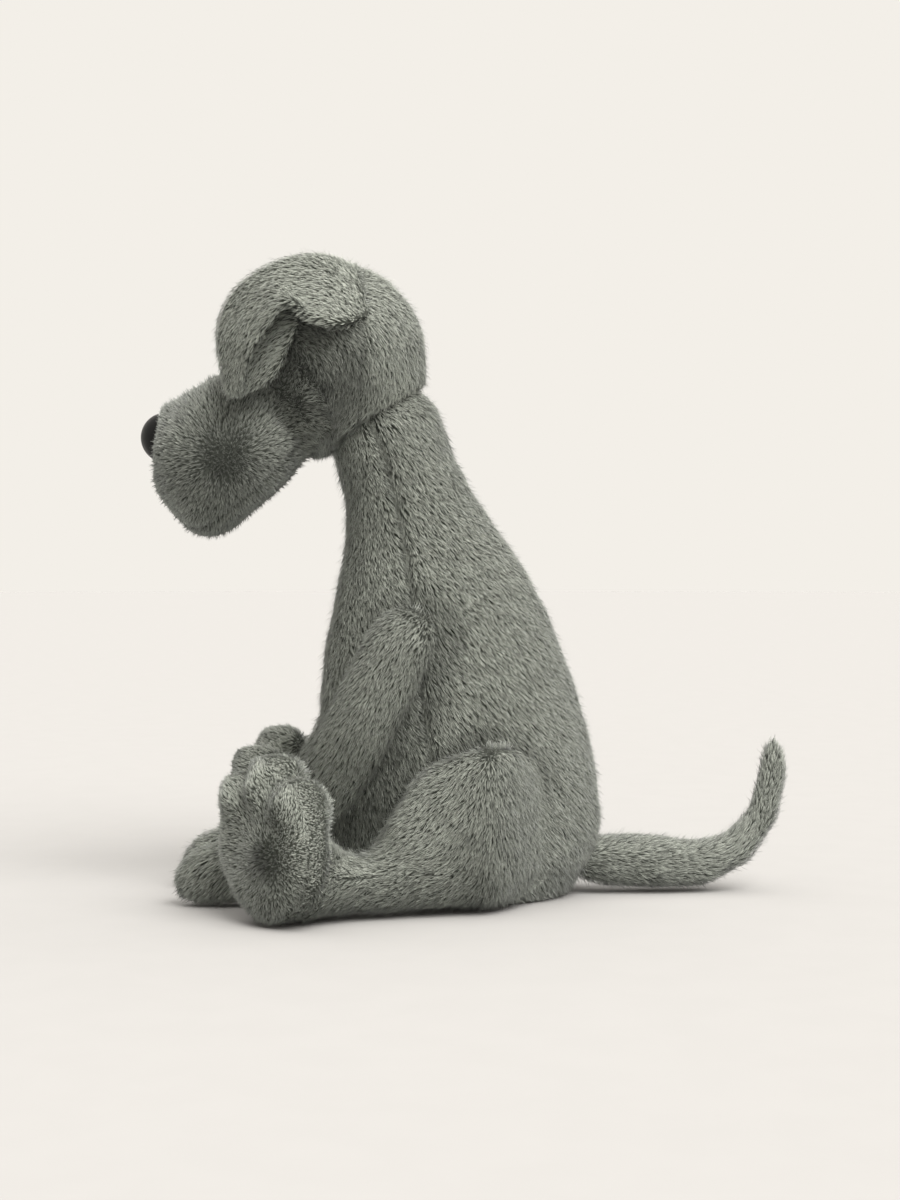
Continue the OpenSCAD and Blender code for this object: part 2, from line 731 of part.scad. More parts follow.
module leg_filling() {
    color(fibre) difference() {
        filled(leg_rings(fill_inset + shin_slack, half_turn));
        leg_seat();
    }
}

// The tail runs back along the ground and curls up at its end
tail_places = [0, 0.08, 0.24, 0.42, 0.6, 0.76, 0.9, 1];
tail_fat = tail_d * 0.53;
tail_end = tail_root[1] + tail_run + tail_d * 0.62;
tail_line = [
    concat(tail_root - [0, tail_d / 2, 0], [tail_d * 0.5, tail_d * 0.5]),
    concat(tail_root, [tail_d * 0.5, tail_d * 0.5]),
    concat([0, tail_root[1] + tail_run * 0.3, tail_fat], [tail_fat, tail_fat]),
    concat([0, tail_root[1] + tail_run * 0.68, tail_d * 0.46], [tail_d * 0.47, tail_d * 0.47]),
    concat([0, tail_end - tail_d * 0.5, tail_tip_h * 0.3], [tail_d * 0.39, tail_d * 0.37]),
    concat([0, tail_end - tail_d * 0.07, tail_tip_h * 0.58], [tail_d * 0.32, tail_d * 0.32]),
    concat([0, tail_end, tail_tip_h * 0.84], [tail_tip_d * 0.56, tail_tip_d * 0.56]),
    concat([0, tail_end, tail_tip_h], [tail_tip_d * 0.48, tail_tip_d * 0.48])
];
tail_caps = [0.09, 0.06];
function tail_rings(inset, sides) =
    limb_rings(tail_places, tail_line, [1, 0, 0], tail_caps, inset, sides, -1);
module tail_panel(left, right) {
    color(plush) difference() {
        panel(
            tail_rings(0, limb_sides), tail_rings(cloth_t, limb_sides),
            0, limb_rows, left, right, limb_sides
        );
        ground();
    }
}
module tail_top() tail_panel(0, half_turn);
module tail_bottom() tail_panel(half_turn, limb_sides);
module tail_stuffing() {
    color(fibre) filled(tail_rings(fill_inset, half_turn));
}

module right_side() {
    mirror([1, 0, 0]) children();
}

body_left();
body_right();
chest();
seat();
body_stuffing();
pellet_bag();
head_back();
face_left();
face_right();
head_stuffing();
muzzle_left();
muzzle_right();
chin();
muzzle_stuffing();
nose();
nose_washer();
eye(1);  // eye_left
eye(-1);  // eye_right
eye_washer(1);  // eye_washer_left
eye_washer(-1);  // eye_washer_right
ear_outer(1);  // ear_outer_left
ear_lining(1);  // ear_lining_left
ear_outer(-1);  // ear_outer_right
ear_lining(-1);  // ear_lining_right
arm_outer();  // arm_outer_left
arm_inner();  // arm_inner_left
arm_filling();  // arm_stuffing_left
right_side() arm_outer();  // arm_outer_right
right_side() arm_inner();  // arm_inner_right
right_side() arm_filling();  // arm_stuffing_right
leg_outer();  // leg_outer_left
leg_inner();  // leg_inner_left
sole();  // sole_left
leg_filling();  // leg_stuffing_left
right_side() leg_outer();  // leg_outer_right
right_side() leg_inner();  // leg_inner_right
right_side() sole();  // sole_right
right_side() leg_filling();  // leg_stuffing_right
tail_top();
tail_bottom();
tail_stuffing();
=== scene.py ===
"""Looks of a sitting plush dog: covers of combed pile over soft filling, a moulded nose and eyes."""

import json
import logging
import math
from dataclasses import dataclass
from enum import Enum

import bpy
import numpy as np
from bpy.types import Material, Mesh, Node, NodeSocket, NodeTree, Object
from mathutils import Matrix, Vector
from mathutils.bvhtree import BVHTree
from mathutils.kdtree import KDTree


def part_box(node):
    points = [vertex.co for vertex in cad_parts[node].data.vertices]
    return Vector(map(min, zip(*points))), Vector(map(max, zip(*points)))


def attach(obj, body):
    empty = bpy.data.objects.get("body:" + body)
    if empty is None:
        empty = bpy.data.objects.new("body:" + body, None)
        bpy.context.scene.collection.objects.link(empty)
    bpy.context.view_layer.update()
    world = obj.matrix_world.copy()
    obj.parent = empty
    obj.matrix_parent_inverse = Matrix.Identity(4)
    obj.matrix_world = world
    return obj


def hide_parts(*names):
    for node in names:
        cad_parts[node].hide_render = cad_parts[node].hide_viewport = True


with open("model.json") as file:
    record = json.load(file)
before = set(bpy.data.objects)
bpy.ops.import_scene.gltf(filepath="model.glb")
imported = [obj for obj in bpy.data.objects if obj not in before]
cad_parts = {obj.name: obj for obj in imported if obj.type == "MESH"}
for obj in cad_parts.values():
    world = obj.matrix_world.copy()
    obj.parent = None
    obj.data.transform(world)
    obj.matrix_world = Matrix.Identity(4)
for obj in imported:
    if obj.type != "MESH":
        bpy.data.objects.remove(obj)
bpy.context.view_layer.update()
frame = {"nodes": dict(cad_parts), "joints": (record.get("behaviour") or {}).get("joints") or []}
MM = 0.001
UV_NAME = "OFBake"
LOG = logging.getLogger("plush_dog")
# Farther out than anything on the dog
FAR = 0.5
# Sockets of a Mix node by what it mixes: first, second and result
MIX_SOCKETS = {"RGBA": (6, 7, 2), "FLOAT": (2, 3, 0)}
Array = np.ndarray
Colour = tuple[float, float, float, float]
Triple = tuple[float, float, float]
Pair = tuple[float, float]


class Side(Enum):
    """The dog's two sides, by the sign of X."""

    LEFT = 1
    RIGHT = -1

    @property
    def word(self) -> str:
        """The side as the names of nodes and joints have it."""
        return self.name.lower()


def linear(red: int, green: int, blue: int) -> Colour:
    """Turns a display colour of 0 to 255 into a linear one.

    Args:
        red: red, 0 to 255.
        green: green, 0 to 255.
        blue: blue, 0 to 255.

    Returns:
        The linear colour with an alpha of 1.
    """
    low, knee, slope = 0.055, 0.04045, 12.92
    parts = [c / 255 for c in (red, green, blue)]
    made = [c / slope if c <= knee else ((c + low) / (1 + low)) ** 2.4 for c in parts]
    return (*made, 1.0)


def unit(v: Array) -> Array:
    """Scales each row of v to length 1."""
    return v / np.maximum(np.linalg.norm(v, axis=-1, keepdims=True), 1e-9)


def ease(x: Array, start: float, end: float) -> Array:
    """Rises smoothly from 0 at start to 1 at end."""
    t = np.clip((x - start) / (end - start), 0, 1)
    return t * t * (3 - 2 * t)


def hump(x: Array, width: float) -> Array:
    """Falls smoothly from 1 at 0 to almost nothing at twice the width."""
    return np.exp(-((x / width) ** 2))


def far_from(p: Array, place: Array) -> Array:
    """Measures how far each row of p is from a place."""
    return np.linalg.norm(p - place, axis=1)


def ripple(p: Array, wave: float, seed: int) -> Array:
    """Gives a smooth, repeatable unevenness over space.

    Args:
        p: places, n by 3.
        wave: the usual length of a swell.
        seed: chooses the pattern.

    Returns:
        One value a place, about -1 to 1.
    """
    waves, rates, gain = 6, (0.7, 1.5), 1.6
    rng = np.random.default_rng(seed)
    turns = unit(rng.normal(size=(waves, 3))) * rng.uniform(*rates, (waves, 1))
    phase = rng.uniform(0, 2 * math.pi, waves)
    return np.sin(p @ turns.T * (2 * math.pi / wave) + phase).mean(1) * gain


def read(items: bpy.types.bpy_prop_collection, key: str, size: int, kind: type) -> Array:
    """Reads one property of each item.

    Args:
        items: the items of a mesh.
        key: the property's name.
        size: how many numbers it has.
        kind: the kind of number.

    Returns:
        An array with a row for each item.
    """
    flat = np.empty(len(items) * size, kind)
    items.foreach_get(key, flat)
    return flat.reshape(-1, size)


def mesh_points(mesh: Mesh) -> Array:
    """Reads a mesh's vertices as an n by 3 array."""
    return read(mesh.vertices, "co", 3, np.float32).astype(np.float64)


def mesh_normals(mesh: Mesh) -> Array:
    """Reads a mesh's vertex normals as an n by 3 array."""
    return read(mesh.vertex_normals, "vector", 3, np.float32).astype(np.float64)


def mesh_edges(mesh: Mesh) -> Array:
    """Reads a mesh's edges as an n by 2 array."""
    return read(mesh.edges, "vertices", 2, np.int32)


def mesh_triangles(mesh: Mesh) -> Array:
    """Reads a mesh's triangles as an n by 3 array."""
    mesh.calc_loop_triangles()
    return read(mesh.loop_triangles, "vertices", 3, np.int32)


def set_points(mesh: Mesh, p: Array) -> None:
    """Writes an n by 3 array into a mesh's vertices."""
    mesh.vertices.foreach_set("co", p.astype(np.float32).ravel())
    mesh.update()


def add_object(name: str, data: Mesh | bpy.types.Light | bpy.types.Camera) -> Object:
    """Links a new object for a mesh, lamp or camera into the scene.

    Args:
        name: the object's name.
        data: what it shows.

    Returns:
        The object.
    """
    made = bpy.data.objects.new(name, data)
    bpy.context.scene.collection.objects.link(made)
    return made


def outer_shell(p: Array, edges: Array, tris: Array) -> tuple[Array, Array]:
    """Keeps the largest connected part of a mesh.

    Args:
        p: vertices.
        edges: edges, n by 2.
        tris: triangles, n by 3.

    Returns:
        The kept vertices and triangles.
    """
    label = np.arange(len(p))
    while True:
        low = np.minimum(label[edges[:, 0]], label[edges[:, 1]])
        new = label.copy()
        np.minimum.at(new, edges[:, 0], low)
        np.minimum.at(new, edges[:, 1], low)
        new = new[new]
        if (new == label).all():
            break
        label = new
    best = max(np.unique(label), key=lambda k: np.ptp(p[label == k], axis=0).sum())
    kept = label == best
    number = np.cumsum(kept) - 1
    return p[kept], number[tris[kept[tris[:, 0]]]]


def smoothed(p: Array, edges: Array, rounds: int, strength: float = 0.5) -> Array:
    """Evens out a mesh by moving each vertex towards its neighbours.

    Args:
        p: vertices.
        edges: edges, n by 2.
        rounds: how often.
        strength: how far, as a share.

    Returns:
        The moved vertices.
    """
    a, b = edges[:, 0], edges[:, 1]
    many = len(p)
    count = np.maximum(np.bincount(edges.ravel(), minlength=many), 1)[:, None]
    for _ in range(rounds):
        sums = [np.bincount(a, p[b, k], many) + np.bincount(b, p[a, k], many) for k in range(3)]
        p = p + strength * (np.stack(sums, 1) / count - p)
    return p


def place_tree(places: Array) -> KDTree:
    """Makes a tree of places in which the nearest can be found.

    Args:
        places: the places, n by 3.

    Returns:
        The tree.
    """
    tree = KDTree(len(places))
    for i, c in enumerate(places):
        tree.insert(c, i)
    tree.balance()
    return tree


def spread_places(mesh: Mesh, steps: int = 5) -> Array:
    """Spreads places over a mesh's triangles.

    Args:
        mesh: the mesh.
        steps: how many steps there are along each side of a triangle.

    Returns:
        The places.
    """
    a, b, c = (mesh_points(mesh)[mesh_triangles(mesh)[:, k]] for k in range(3))
    shares = [(i / steps, j / steps) for i in range(steps + 1) for j in range(steps + 1 - i)]
    return np.concatenate([a + u * (b - a) + v * (c - a) for u, v in shares])


def seam_tree(pairs: tuple[tuple[str, str], ...]) -> KDTree | None:
    """Finds where CAD panels are sewn together.

    Args:
        pairs: the names of panels that meet.

    Returns:
        A tree of places along their common edges, or None if there are none.
    """
    near, step = 0.05 * MM, 1.0 * MM
    found = []
    for one, other in pairs:
        p = mesh_points(frame["nodes"][one].data)
        tree = place_tree(mesh_points(frame["nodes"][other].data))
        shared = np.array([tree.find(c)[2] < near for c in p])
        edges = mesh_edges(frame["nodes"][one].data)
        for a, b in edges[shared[edges].all(1)]:
            n = max(2, int(np.linalg.norm(p[a] - p[b]) / step))
            found.append(p[a] + np.linspace(0, 1, n)[:, None] * (p[b] - p[a]))
    return place_tree(np.concatenate(found)) if found else None


def distances(tree: KDTree | None, p: Array) -> Array:
    """Measures how far each place is from the nearest in a tree."""
    return np.full(len(p), FAR) if tree is None else np.array([tree.find(c)[2] for c in p])


def centre(node: str) -> Array:
    """Gives the middle of a CAD node's box."""
    low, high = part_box(node)
    return np.array((low + high) / 2)


def skull_middle() -> Array:
    """Gives the middle of the skull from the boxes of its panels.

    Returns:
        The place.
    """
    boxes = [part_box(name) for name in ("head_back", "face_left", "face_right")]
    low = np.min([np.array(box[0]) for box in boxes], 0)
    return (low + np.max([np.array(box[1]) for box in boxes], 0)) / 2


def joint(name: str) -> tuple[Array, Array]:
    """Gives the place and the axis of a joint of the frame."""
    found = next(j for j in frame["joints"] if j["name"] == name)
    return np.array(found["pos_m"]), np.array(found["axis"])


class NodeKit:
    """Adds shader nodes to one tree and links them."""

    def __init__(self, tree: NodeTree) -> None:
        """Keeps the tree that the nodes go into."""
        self.tree = tree

    def add(self, kind: str, **values: object) -> Node:
        """Adds a node and sets its properties.

        Args:
            kind: the node's type.
            values: properties by name.

        Returns:
            The new node.
        """
        node = self.tree.nodes.new(kind)
        for key, value in values.items():
            setattr(node, key, value)
        return node

    def link(self, a: NodeSocket, b: NodeSocket) -> None:
        """Links an output to an input."""
        self.tree.links.new(a, b)

    def fill(self, node: Node, values: dict[str | int, object]) -> None:
        """Sets inputs of a node, or links them to a socket.

        Args:
            node: the node.
            values: a socket or a constant for each input's name or number.
        """
        for name, value in values.items():
            if isinstance(value, NodeSocket):
                self.link(value, node.inputs[name])
            else:
                node.inputs[name].default_value = value

    def ranged(self, value: NodeSocket, low: float, high: float) -> NodeSocket:
        """Maps value from low to high smoothly onto 0 to 1.

        Args:
            value: the value.
            low: what gives 0.
            high: what gives 1.

        Returns:
            The mapped value.
        """
        node = self.add("ShaderNodeMapRange", interpolation_type="SMOOTHSTEP")
        self.fill(node, {"Value": value, "From Min": low, "From Max": high})
        return node.outputs["Result"]

    def mixed(self, share: NodeSocket, a: NodeSocket, b: NodeSocket, kind: str = "RGBA") -> NodeSocket:
        """Mixes two colours or two values.

        Args:
            share: how much of the second there is, 0 to 1.
            a: the first.
            b: the second.
            kind: RGBA for colours, FLOAT for values.

        Returns:
            The mixture.
        """
        first, second, result = MIX_SOCKETS[kind]
        node = self.add("ShaderNodeMix", data_type=kind)
        self.link(share, node.inputs["Factor"])
        self.link(a, node.inputs[first])
        self.link(b, node.inputs[second])
        return node.outputs[result]

    def line(self, value: NodeSocket, factor: NodeSocket | float, more: NodeSocket | float) -> NodeSocket:
        """Multiplies a value by a factor and adds more to it.

        Args:
            value: the value.
            factor: a socket or a constant.
            more: a socket or a constant.

        Returns:
            The result.
        """
        node = self.add("ShaderNodeMath", operation="MULTIPLY_ADD")
        self.fill(node, dict(enumerate((value, factor, more))))
        return node.outputs["Value"]

    def scaled(self, vector: NodeSocket, factor: NodeSocket) -> NodeSocket:
        """Multiplies a vector or a colour by a factor.

        Args:
            vector: the vector or colour.
            factor: the factor.

        Returns:
            The result.
        """
        node = self.add("ShaderNodeVectorMath", operation="SCALE")
        self.fill(node, {0: vector, "Scale": factor})
        return node.outputs["Vector"]

    def seen(self) -> NodeSocket:
        """Gives 1 for light that the camera sees, straight or in a gloss.

        Returns:
            The value, 0 or 1.
        """
        path = self.add("ShaderNodeLightPath")
        most = self.add("ShaderNodeMath", operation="MAXIMUM")
        self.fill(most, {0: path.outputs["Is Camera Ray"], 1: path.outputs["Is Glossy Ray"]})
        return most.outputs["Value"]

    def colour(self, value: Colour) -> NodeSocket:
        """Adds a node with one colour.

        Args:
            value: the colour.

        Returns:
            The node's output.
        """
        made = self.add("ShaderNodeRGB").outputs["Color"]
        made.default_value = value
        return made


def new_group(name: str, inputs: dict[str, str], outputs: dict[str, str]) -> tuple[NodeKit, Node, Node]:
    """Starts a shader node group.

    Args:
        name: the group's name.
        inputs: the kinds of its inputs by name.
        outputs: the kinds of its outputs by name.

    Returns:
        The group's node kit, its input node and its output node.
    """
    group = bpy.data.node_groups.new(name, "ShaderNodeTree")
    for way, sockets in (("INPUT", inputs), ("OUTPUT", outputs)):
        for socket, kind in sockets.items():
            group.interface.new_socket(socket, in_out=way, socket_type=f"NodeSocket{kind}")
    kit = NodeKit(group)
    return kit, kit.add("NodeGroupInput"), kit.add("NodeGroupOutput")


def pile_group() -> NodeTree:
    """Makes the node group that colours a pile from root to tip, once.

    Returns:
        The group, which reads the length and the tone of a hair from its map.
    """
    name = "PileColour"
    if name in bpy.data.node_groups:
        return bpy.data.node_groups[name]
    inputs = {"Root": "Color", "Middle": "Color", "Tip": "Color", "Spread": "Float"}
    kit, given, result = new_group(name, inputs, {"Colour": "Color"})
    root, middle, tip, spread = given.outputs[:4]
    place = kit.add("ShaderNodeUVMap", uv_map=UV_NAME)
    parts = kit.add("ShaderNodeSeparateXYZ")
    kit.link(place.outputs["UV"], parts.inputs["Vector"])
    # Darker at the root than at the tip: partly the pile's own colour, partly painted shade between the hairs
    root_part, tip_part = (0.0, 0.55), (0.45, 1.0)
    lower = kit.mixed(kit.ranged(parts.outputs["Y"], *root_part), root, middle)
    upper = kit.mixed(kit.ranged(parts.outputs["Y"], *tip_part), lower, tip)
    # A tone of 0 to 1 dims or brightens by up to half the spread
    swing = kit.line(parts.outputs["X"], spread, kit.line(spread, -0.5, 1.0))
    kit.link(kit.scaled(upper, swing), result.inputs["Colour"])
    return kit.tree


def grain_group() -> NodeTree:
    """Makes the node group of a fine uneven grain, once.

    Returns:
        The group, with a colour between two tones, a roughness and a height.
    """
    name = "FineGrain"
    if name in bpy.data.node_groups:
        return bpy.data.node_groups[name]
    inputs = {"Dark": "Color", "Light": "Color", "Scale": "Float", "Matt": "Float", "Gloss": "Float"}
    kit, given, result = new_group(name, inputs, {"Colour": "Color", "Roughness": "Float", "Height": "Float"})
    dark, light, scale, matt, gloss = given.outputs[:5]
    detail, band = 3.0, (0.3, 0.7)
    place = kit.add("ShaderNodeTexCoord")
    noise = kit.add("ShaderNodeTexNoise")
    kit.fill(noise, {"Vector": place.outputs["Object"], "Scale": scale, "Detail": detail})
    share = kit.ranged(noise.outputs["Fac"], *band)
    made = {"Colour": kit.mixed(share, dark, light), "Roughness": kit.mixed(share, gloss, matt, "FLOAT")}
    kit.fill(result, {**made, "Height": noise.outputs["Fac"]})
    return kit.tree


def principled(name: str) -> tuple[Material, NodeKit, Node]:
    """Makes a material with one Principled shader.

    Args:
        name: the material's name.

    Returns:
        The material, its node kit and its shader.
    """
    made = bpy.data.materials.new(name)
    made.use_nodes = True
    made.node_tree.nodes.clear()
    kit = NodeKit(made.node_tree)
    shader = kit.add("ShaderNodeBsdfPrincipled")
    output = kit.add("ShaderNodeOutputMaterial")
    kit.link(shader.outputs["BSDF"], output.inputs["Surface"])
    return made, kit, shader


@dataclass(frozen=True)
class PileFinish:
    """The colours and the sheen of a pile."""

    name: str
    root: Colour
    middle: Colour
    tip: Colour
    spread: float = 1.3
    roughness: float = 0.8
    specular: float = 0.15
    sheen: float = 0.2
    sheen_roughness: float = 0.6

    def material(self) -> Material:
        """Makes the pile's material.

        Returns:
            The material.
        """
        made, kit, shader = principled(self.name)
        group = kit.add("ShaderNodeGroup", node_tree=pile_group())
        kit.fill(group, {"Root": self.root, "Middle": self.middle, "Tip": self.tip, "Spread": self.spread})
        kit.fill(shader, {"Base Color": group.outputs["Colour"], "Normal": self.outward(kit)})
        kit.fill(shader, {"Roughness": self.roughness, "Specular IOR Level": self.specular})
        kit.fill(shader, {"Sheen Weight": self.sheen, "Sheen Roughness": self.sheen_roughness})
        return made

    def outward(self, kit: NodeKit) -> NodeSocket:
        """Gives a normal by which both sides of a hair are lit as its outer side.

        Args:
            kit: the material's node kit.

        Returns:
            The normal.
        """
        geometry = kit.add("ShaderNodeNewGeometry")
        # 1 on the outer side, -1 on the other
        sign = kit.line(geometry.outputs["Backfacing"], -2.0, 1.0)
        return kit.scaled(geometry.outputs["Normal"], sign)


@dataclass(frozen=True)
class GrainFinish:
    """A woven or moulded surface: two close tones in a fine grain, matt to glossy, with a slight relief."""

    name: str
    dark: Colour
    light: Colour
    scale: float
    gloss: float
    matt: float
    specular: float
    relief: float
    relief_depth: float = 0.2 * MM

    def material(self) -> Material:
        """Makes the material.

        Returns:
            The material.
        """
        made, kit, shader = principled(self.name)
        self.grain(kit, shader)
        return made

    def grain(self, kit: NodeKit, shader: Node) -> NodeSocket:
        """Puts the grain on a shader.

        Args:
            kit: the material's node kit.
            shader: the material's shader.

        Returns:
            The grain's colour.
        """
        group = kit.add("ShaderNodeGroup", node_tree=grain_group())
        kit.fill(group, {"Dark": self.dark, "Light": self.light, "Scale": self.scale})
        kit.fill(group, {"Matt": self.matt, "Gloss": self.gloss})
        bump = kit.add("ShaderNodeBump")
        kit.fill(bump, {"Strength": self.relief, "Distance": self.relief_depth, "Height": group.outputs["Height"]})
        kit.fill(shader, {"Base Color": group.outputs["Colour"], "Roughness": group.outputs["Roughness"]})
        kit.fill(shader, {"Normal": bump.outputs["Normal"], "Specular IOR Level": self.specular})
        return group.outputs["Colour"]


@dataclass(frozen=True)
class FloorFinish(GrainFinish):
    """A pale floor that throws back less light than it shows."""

    bounce: Colour = (0.3, 0.3, 0.3, 1.0)

    def material(self) -> Material:
        """Makes the floor's material.

        Returns:
            The material.
        """
        made, kit, shader = principled(self.name)
        shown = self.grain(kit, shader)
        kit.link(kit.mixed(kit.seen(), kit.colour(self.bounce), shown), shader.inputs["Base Color"])
        return made


@dataclass(frozen=True)
class Pile:
    """The hairs of a plush: short tufts that lean the way they were combed, by degrees from upright."""

    length: float = 4.9 * MM
    lengths: Pair = (0.72, 1.12)
    width: float = 0.29 * MM
    widths: Pair = (0.7, 1.3)
    rooted: float = 0.4 * MM
    tufts_per_mm2: float = 1.15
    hairs: int = 3
    tuft_size: float = 0.3 * MM
    tuft_turn: float = 0.1
    hair_turn: float = 0.05
    gather: float = 0.35
    gather_low: float = 0.4
    lean_root: float = 48.0
    lean_tip: float = 72.0
    lean_spread: float = 9.0
    full_lean: float = 0.55
    least_lean: float = 0.3
    stray_share: float = 0.08
    stray_length: float = 1.3
    stray_lean: float = 0.6
    twist: float = 0.3
    facing_out: float = 0.75
    facing_aside: float = 0.35
    # Painted shade on pile that stands up
    standing_tone: float = 0.2
    hair_tone: float = 0.08
    map_margin: float = 0.02
    most: int = 95000

    def roots(self, p: Array, n: Array, tris: Array, rng: np.random.Generator) -> tuple[Array, Array]:
        """Spreads tufts evenly over a skin.

        Args:
            p: the skin's vertices.
            n: the skin's vertex normals.
            tris: the skin's triangles.
            rng: the source of chance.

        Returns:
            The tufts' places and normals.
        """
        a, b, c = (p[tris[:, k]] for k in range(3))
        area = np.linalg.norm(np.cross(b - a, c - a), axis=1) / 2
        count = int(area.sum() / MM**2 * self.tufts_per_mm2)
        even = (np.arange(count) + rng.random(count)) / count
        picked = np.searchsorted(np.cumsum(area) / area.sum(), even)
        picked = np.minimum(picked, len(tris) - 1)
        u, v = rng.random(count), rng.random(count)
        over = u + v > 1
        u[over], v[over] = 1 - u[over], 1 - v[over]
        w = np.stack([1 - u - v, u, v], 1)[:, :, None]
        return (p[tris[picked]] * w).sum(1), unit((n[tris[picked]] * w).sum(1))

    def hair_arrays(
        self, p: Array, n: Array, way: Array, long: Array, tone: Array, rng: np.random.Generator
    ) -> tuple[Array, Array, Array]:
        """Bends the hairs of each tuft.

        Args:
            p: the tufts' places.
            n: the tufts' normals.
            way: the way each tuft is combed.
            long: each tuft's length as a share of the pile's.
            tone: each tuft's tone, 0 to 1, with its painted shade and light.
            rng: the source of chance.

        Returns:
            Vertices, normals and map places, each hairs by 4 by their size.
        """
        p, n, way = (np.repeat(x, self.hairs, 0) for x in (p, n, way))
        long, tone = np.repeat(long, self.hairs), np.repeat(tone, self.hairs)
        many = len(p)
        flat = way - (way * n).sum(1)[:, None] * n
        combed = np.clip(np.linalg.norm(flat, axis=1) / self.full_lean, self.least_lean, 1)
        along = flat + np.repeat(rng.normal(0, self.tuft_turn, (many // self.hairs, 3)), self.hairs, 0)
        along = along + rng.normal(0, self.hair_turn, (many, 3))
        along = unit(along - (along * n).sum(1)[:, None] * n)
        across = np.cross(n, along)
        shift = rng.normal(0, self.tuft_size, (many, 2))
        offset = along * shift[:, :1] + across * shift[:, 1:]
        stray = rng.random(many) < self.stray_share
        reach = self.length * long * rng.uniform(*self.lengths, many)
        reach = (reach * np.where(stray, self.stray_length, 1))[:, None]
        upright = np.where(stray, self.stray_lean, 1) * combed
        lean = np.radians(self.lean_root * upright + rng.normal(0, self.lean_spread, many))[:, None]
        bow = np.radians(self.lean_tip * upright + rng.normal(0, self.lean_spread, many))[:, None]
        drawn = offset * self.gather
        root = p + offset - n * self.rooted
        middle = root + reach * 0.5 * (n * np.cos(lean) + along * np.sin(lean)) - drawn * self.gather_low
        tip = middle + reach * 0.5 * (n * np.cos(bow) + along * np.sin(bow)) - drawn * (1 - self.gather_low)
        twist = rng.normal(0, self.twist, many)[:, None]
        wide = unit(across * np.cos(twist) + n * np.sin(twist))
        half = wide * (self.width / 2 * rng.uniform(*self.widths, many))[:, None]
        points = np.stack([root, middle - half, tip, middle + half], 1)
        # The ground presses the pile flat
        points[:, :, 2] = np.maximum(points[:, :, 2], 0)
        face = n * self.facing_out + along * (1 - self.facing_out)
        face = unit(face + wide * rng.normal(0, self.facing_aside, many)[:, None])
        normals = np.repeat(face[:, None], 4, 1)
        # Painted shade: pile that stands up is darker, as in the shaded gaps between hairs seen end on
        tone = tone - self.standing_tone * (1 - combed)
        low, high = self.map_margin, 1 - self.map_margin
        shade = np.clip(tone + rng.normal(0, self.hair_tone, many), low, high)
        rise = np.array([low, 0.5, high, 0.5])
        places = np.stack(np.broadcast_arrays(shade[:, None], rise[None]), 2)
        return points, normals, places

    def pieces(self, name: str, points: Array, normals: Array, places: Array) -> list[Object]:
        """Makes mesh objects of hairs, each under the limit of faces.

        Args:
            name: the pieces' name, to which a number is added.
            points: vertices, hairs by 4 by 3.
            normals: normals, hairs by 4 by 3.
            places: map places, hairs by 4 by 2.

        Returns:
            The objects.
        """
        corners = np.array([0, 1, 3, 1, 2, 3])
        parts = max(1, math.ceil(len(points) / self.most))
        made = []
        for k, rows in enumerate(np.array_split(np.arange(len(points)), parts)):
            many = len(rows)
            mesh = bpy.data.meshes.new(f"{name}_{k + 1}")
            mesh.vertices.add(many * 4)
            mesh.vertices.foreach_set("co", points[rows].astype(np.float32).ravel())
            loops = (np.arange(many)[:, None] * 4 + corners).ravel()
            mesh.loops.add(len(loops))
            mesh.loops.foreach_set("vertex_index", loops.astype(np.int32))
            mesh.polygons.add(many * 2)
            mesh.polygons.foreach_set("loop_start", np.arange(0, len(loops), 3, dtype=np.int32))
            mesh.update(calc_edges=True)
            layer = mesh.uv_layers.new(name=UV_NAME)
            flat = places[rows].reshape(-1, 2)[loops]
            layer.uv.foreach_set("vector", flat.astype(np.float32).ravel())
            mesh.polygons.foreach_set("use_smooth", np.ones(many * 2, bool))
            mesh.normals_split_custom_set_from_vertices(normals[rows].reshape(-1, 3).astype(np.float32))
            made.append(add_object(f"{name}_{k + 1}", mesh))
        return made


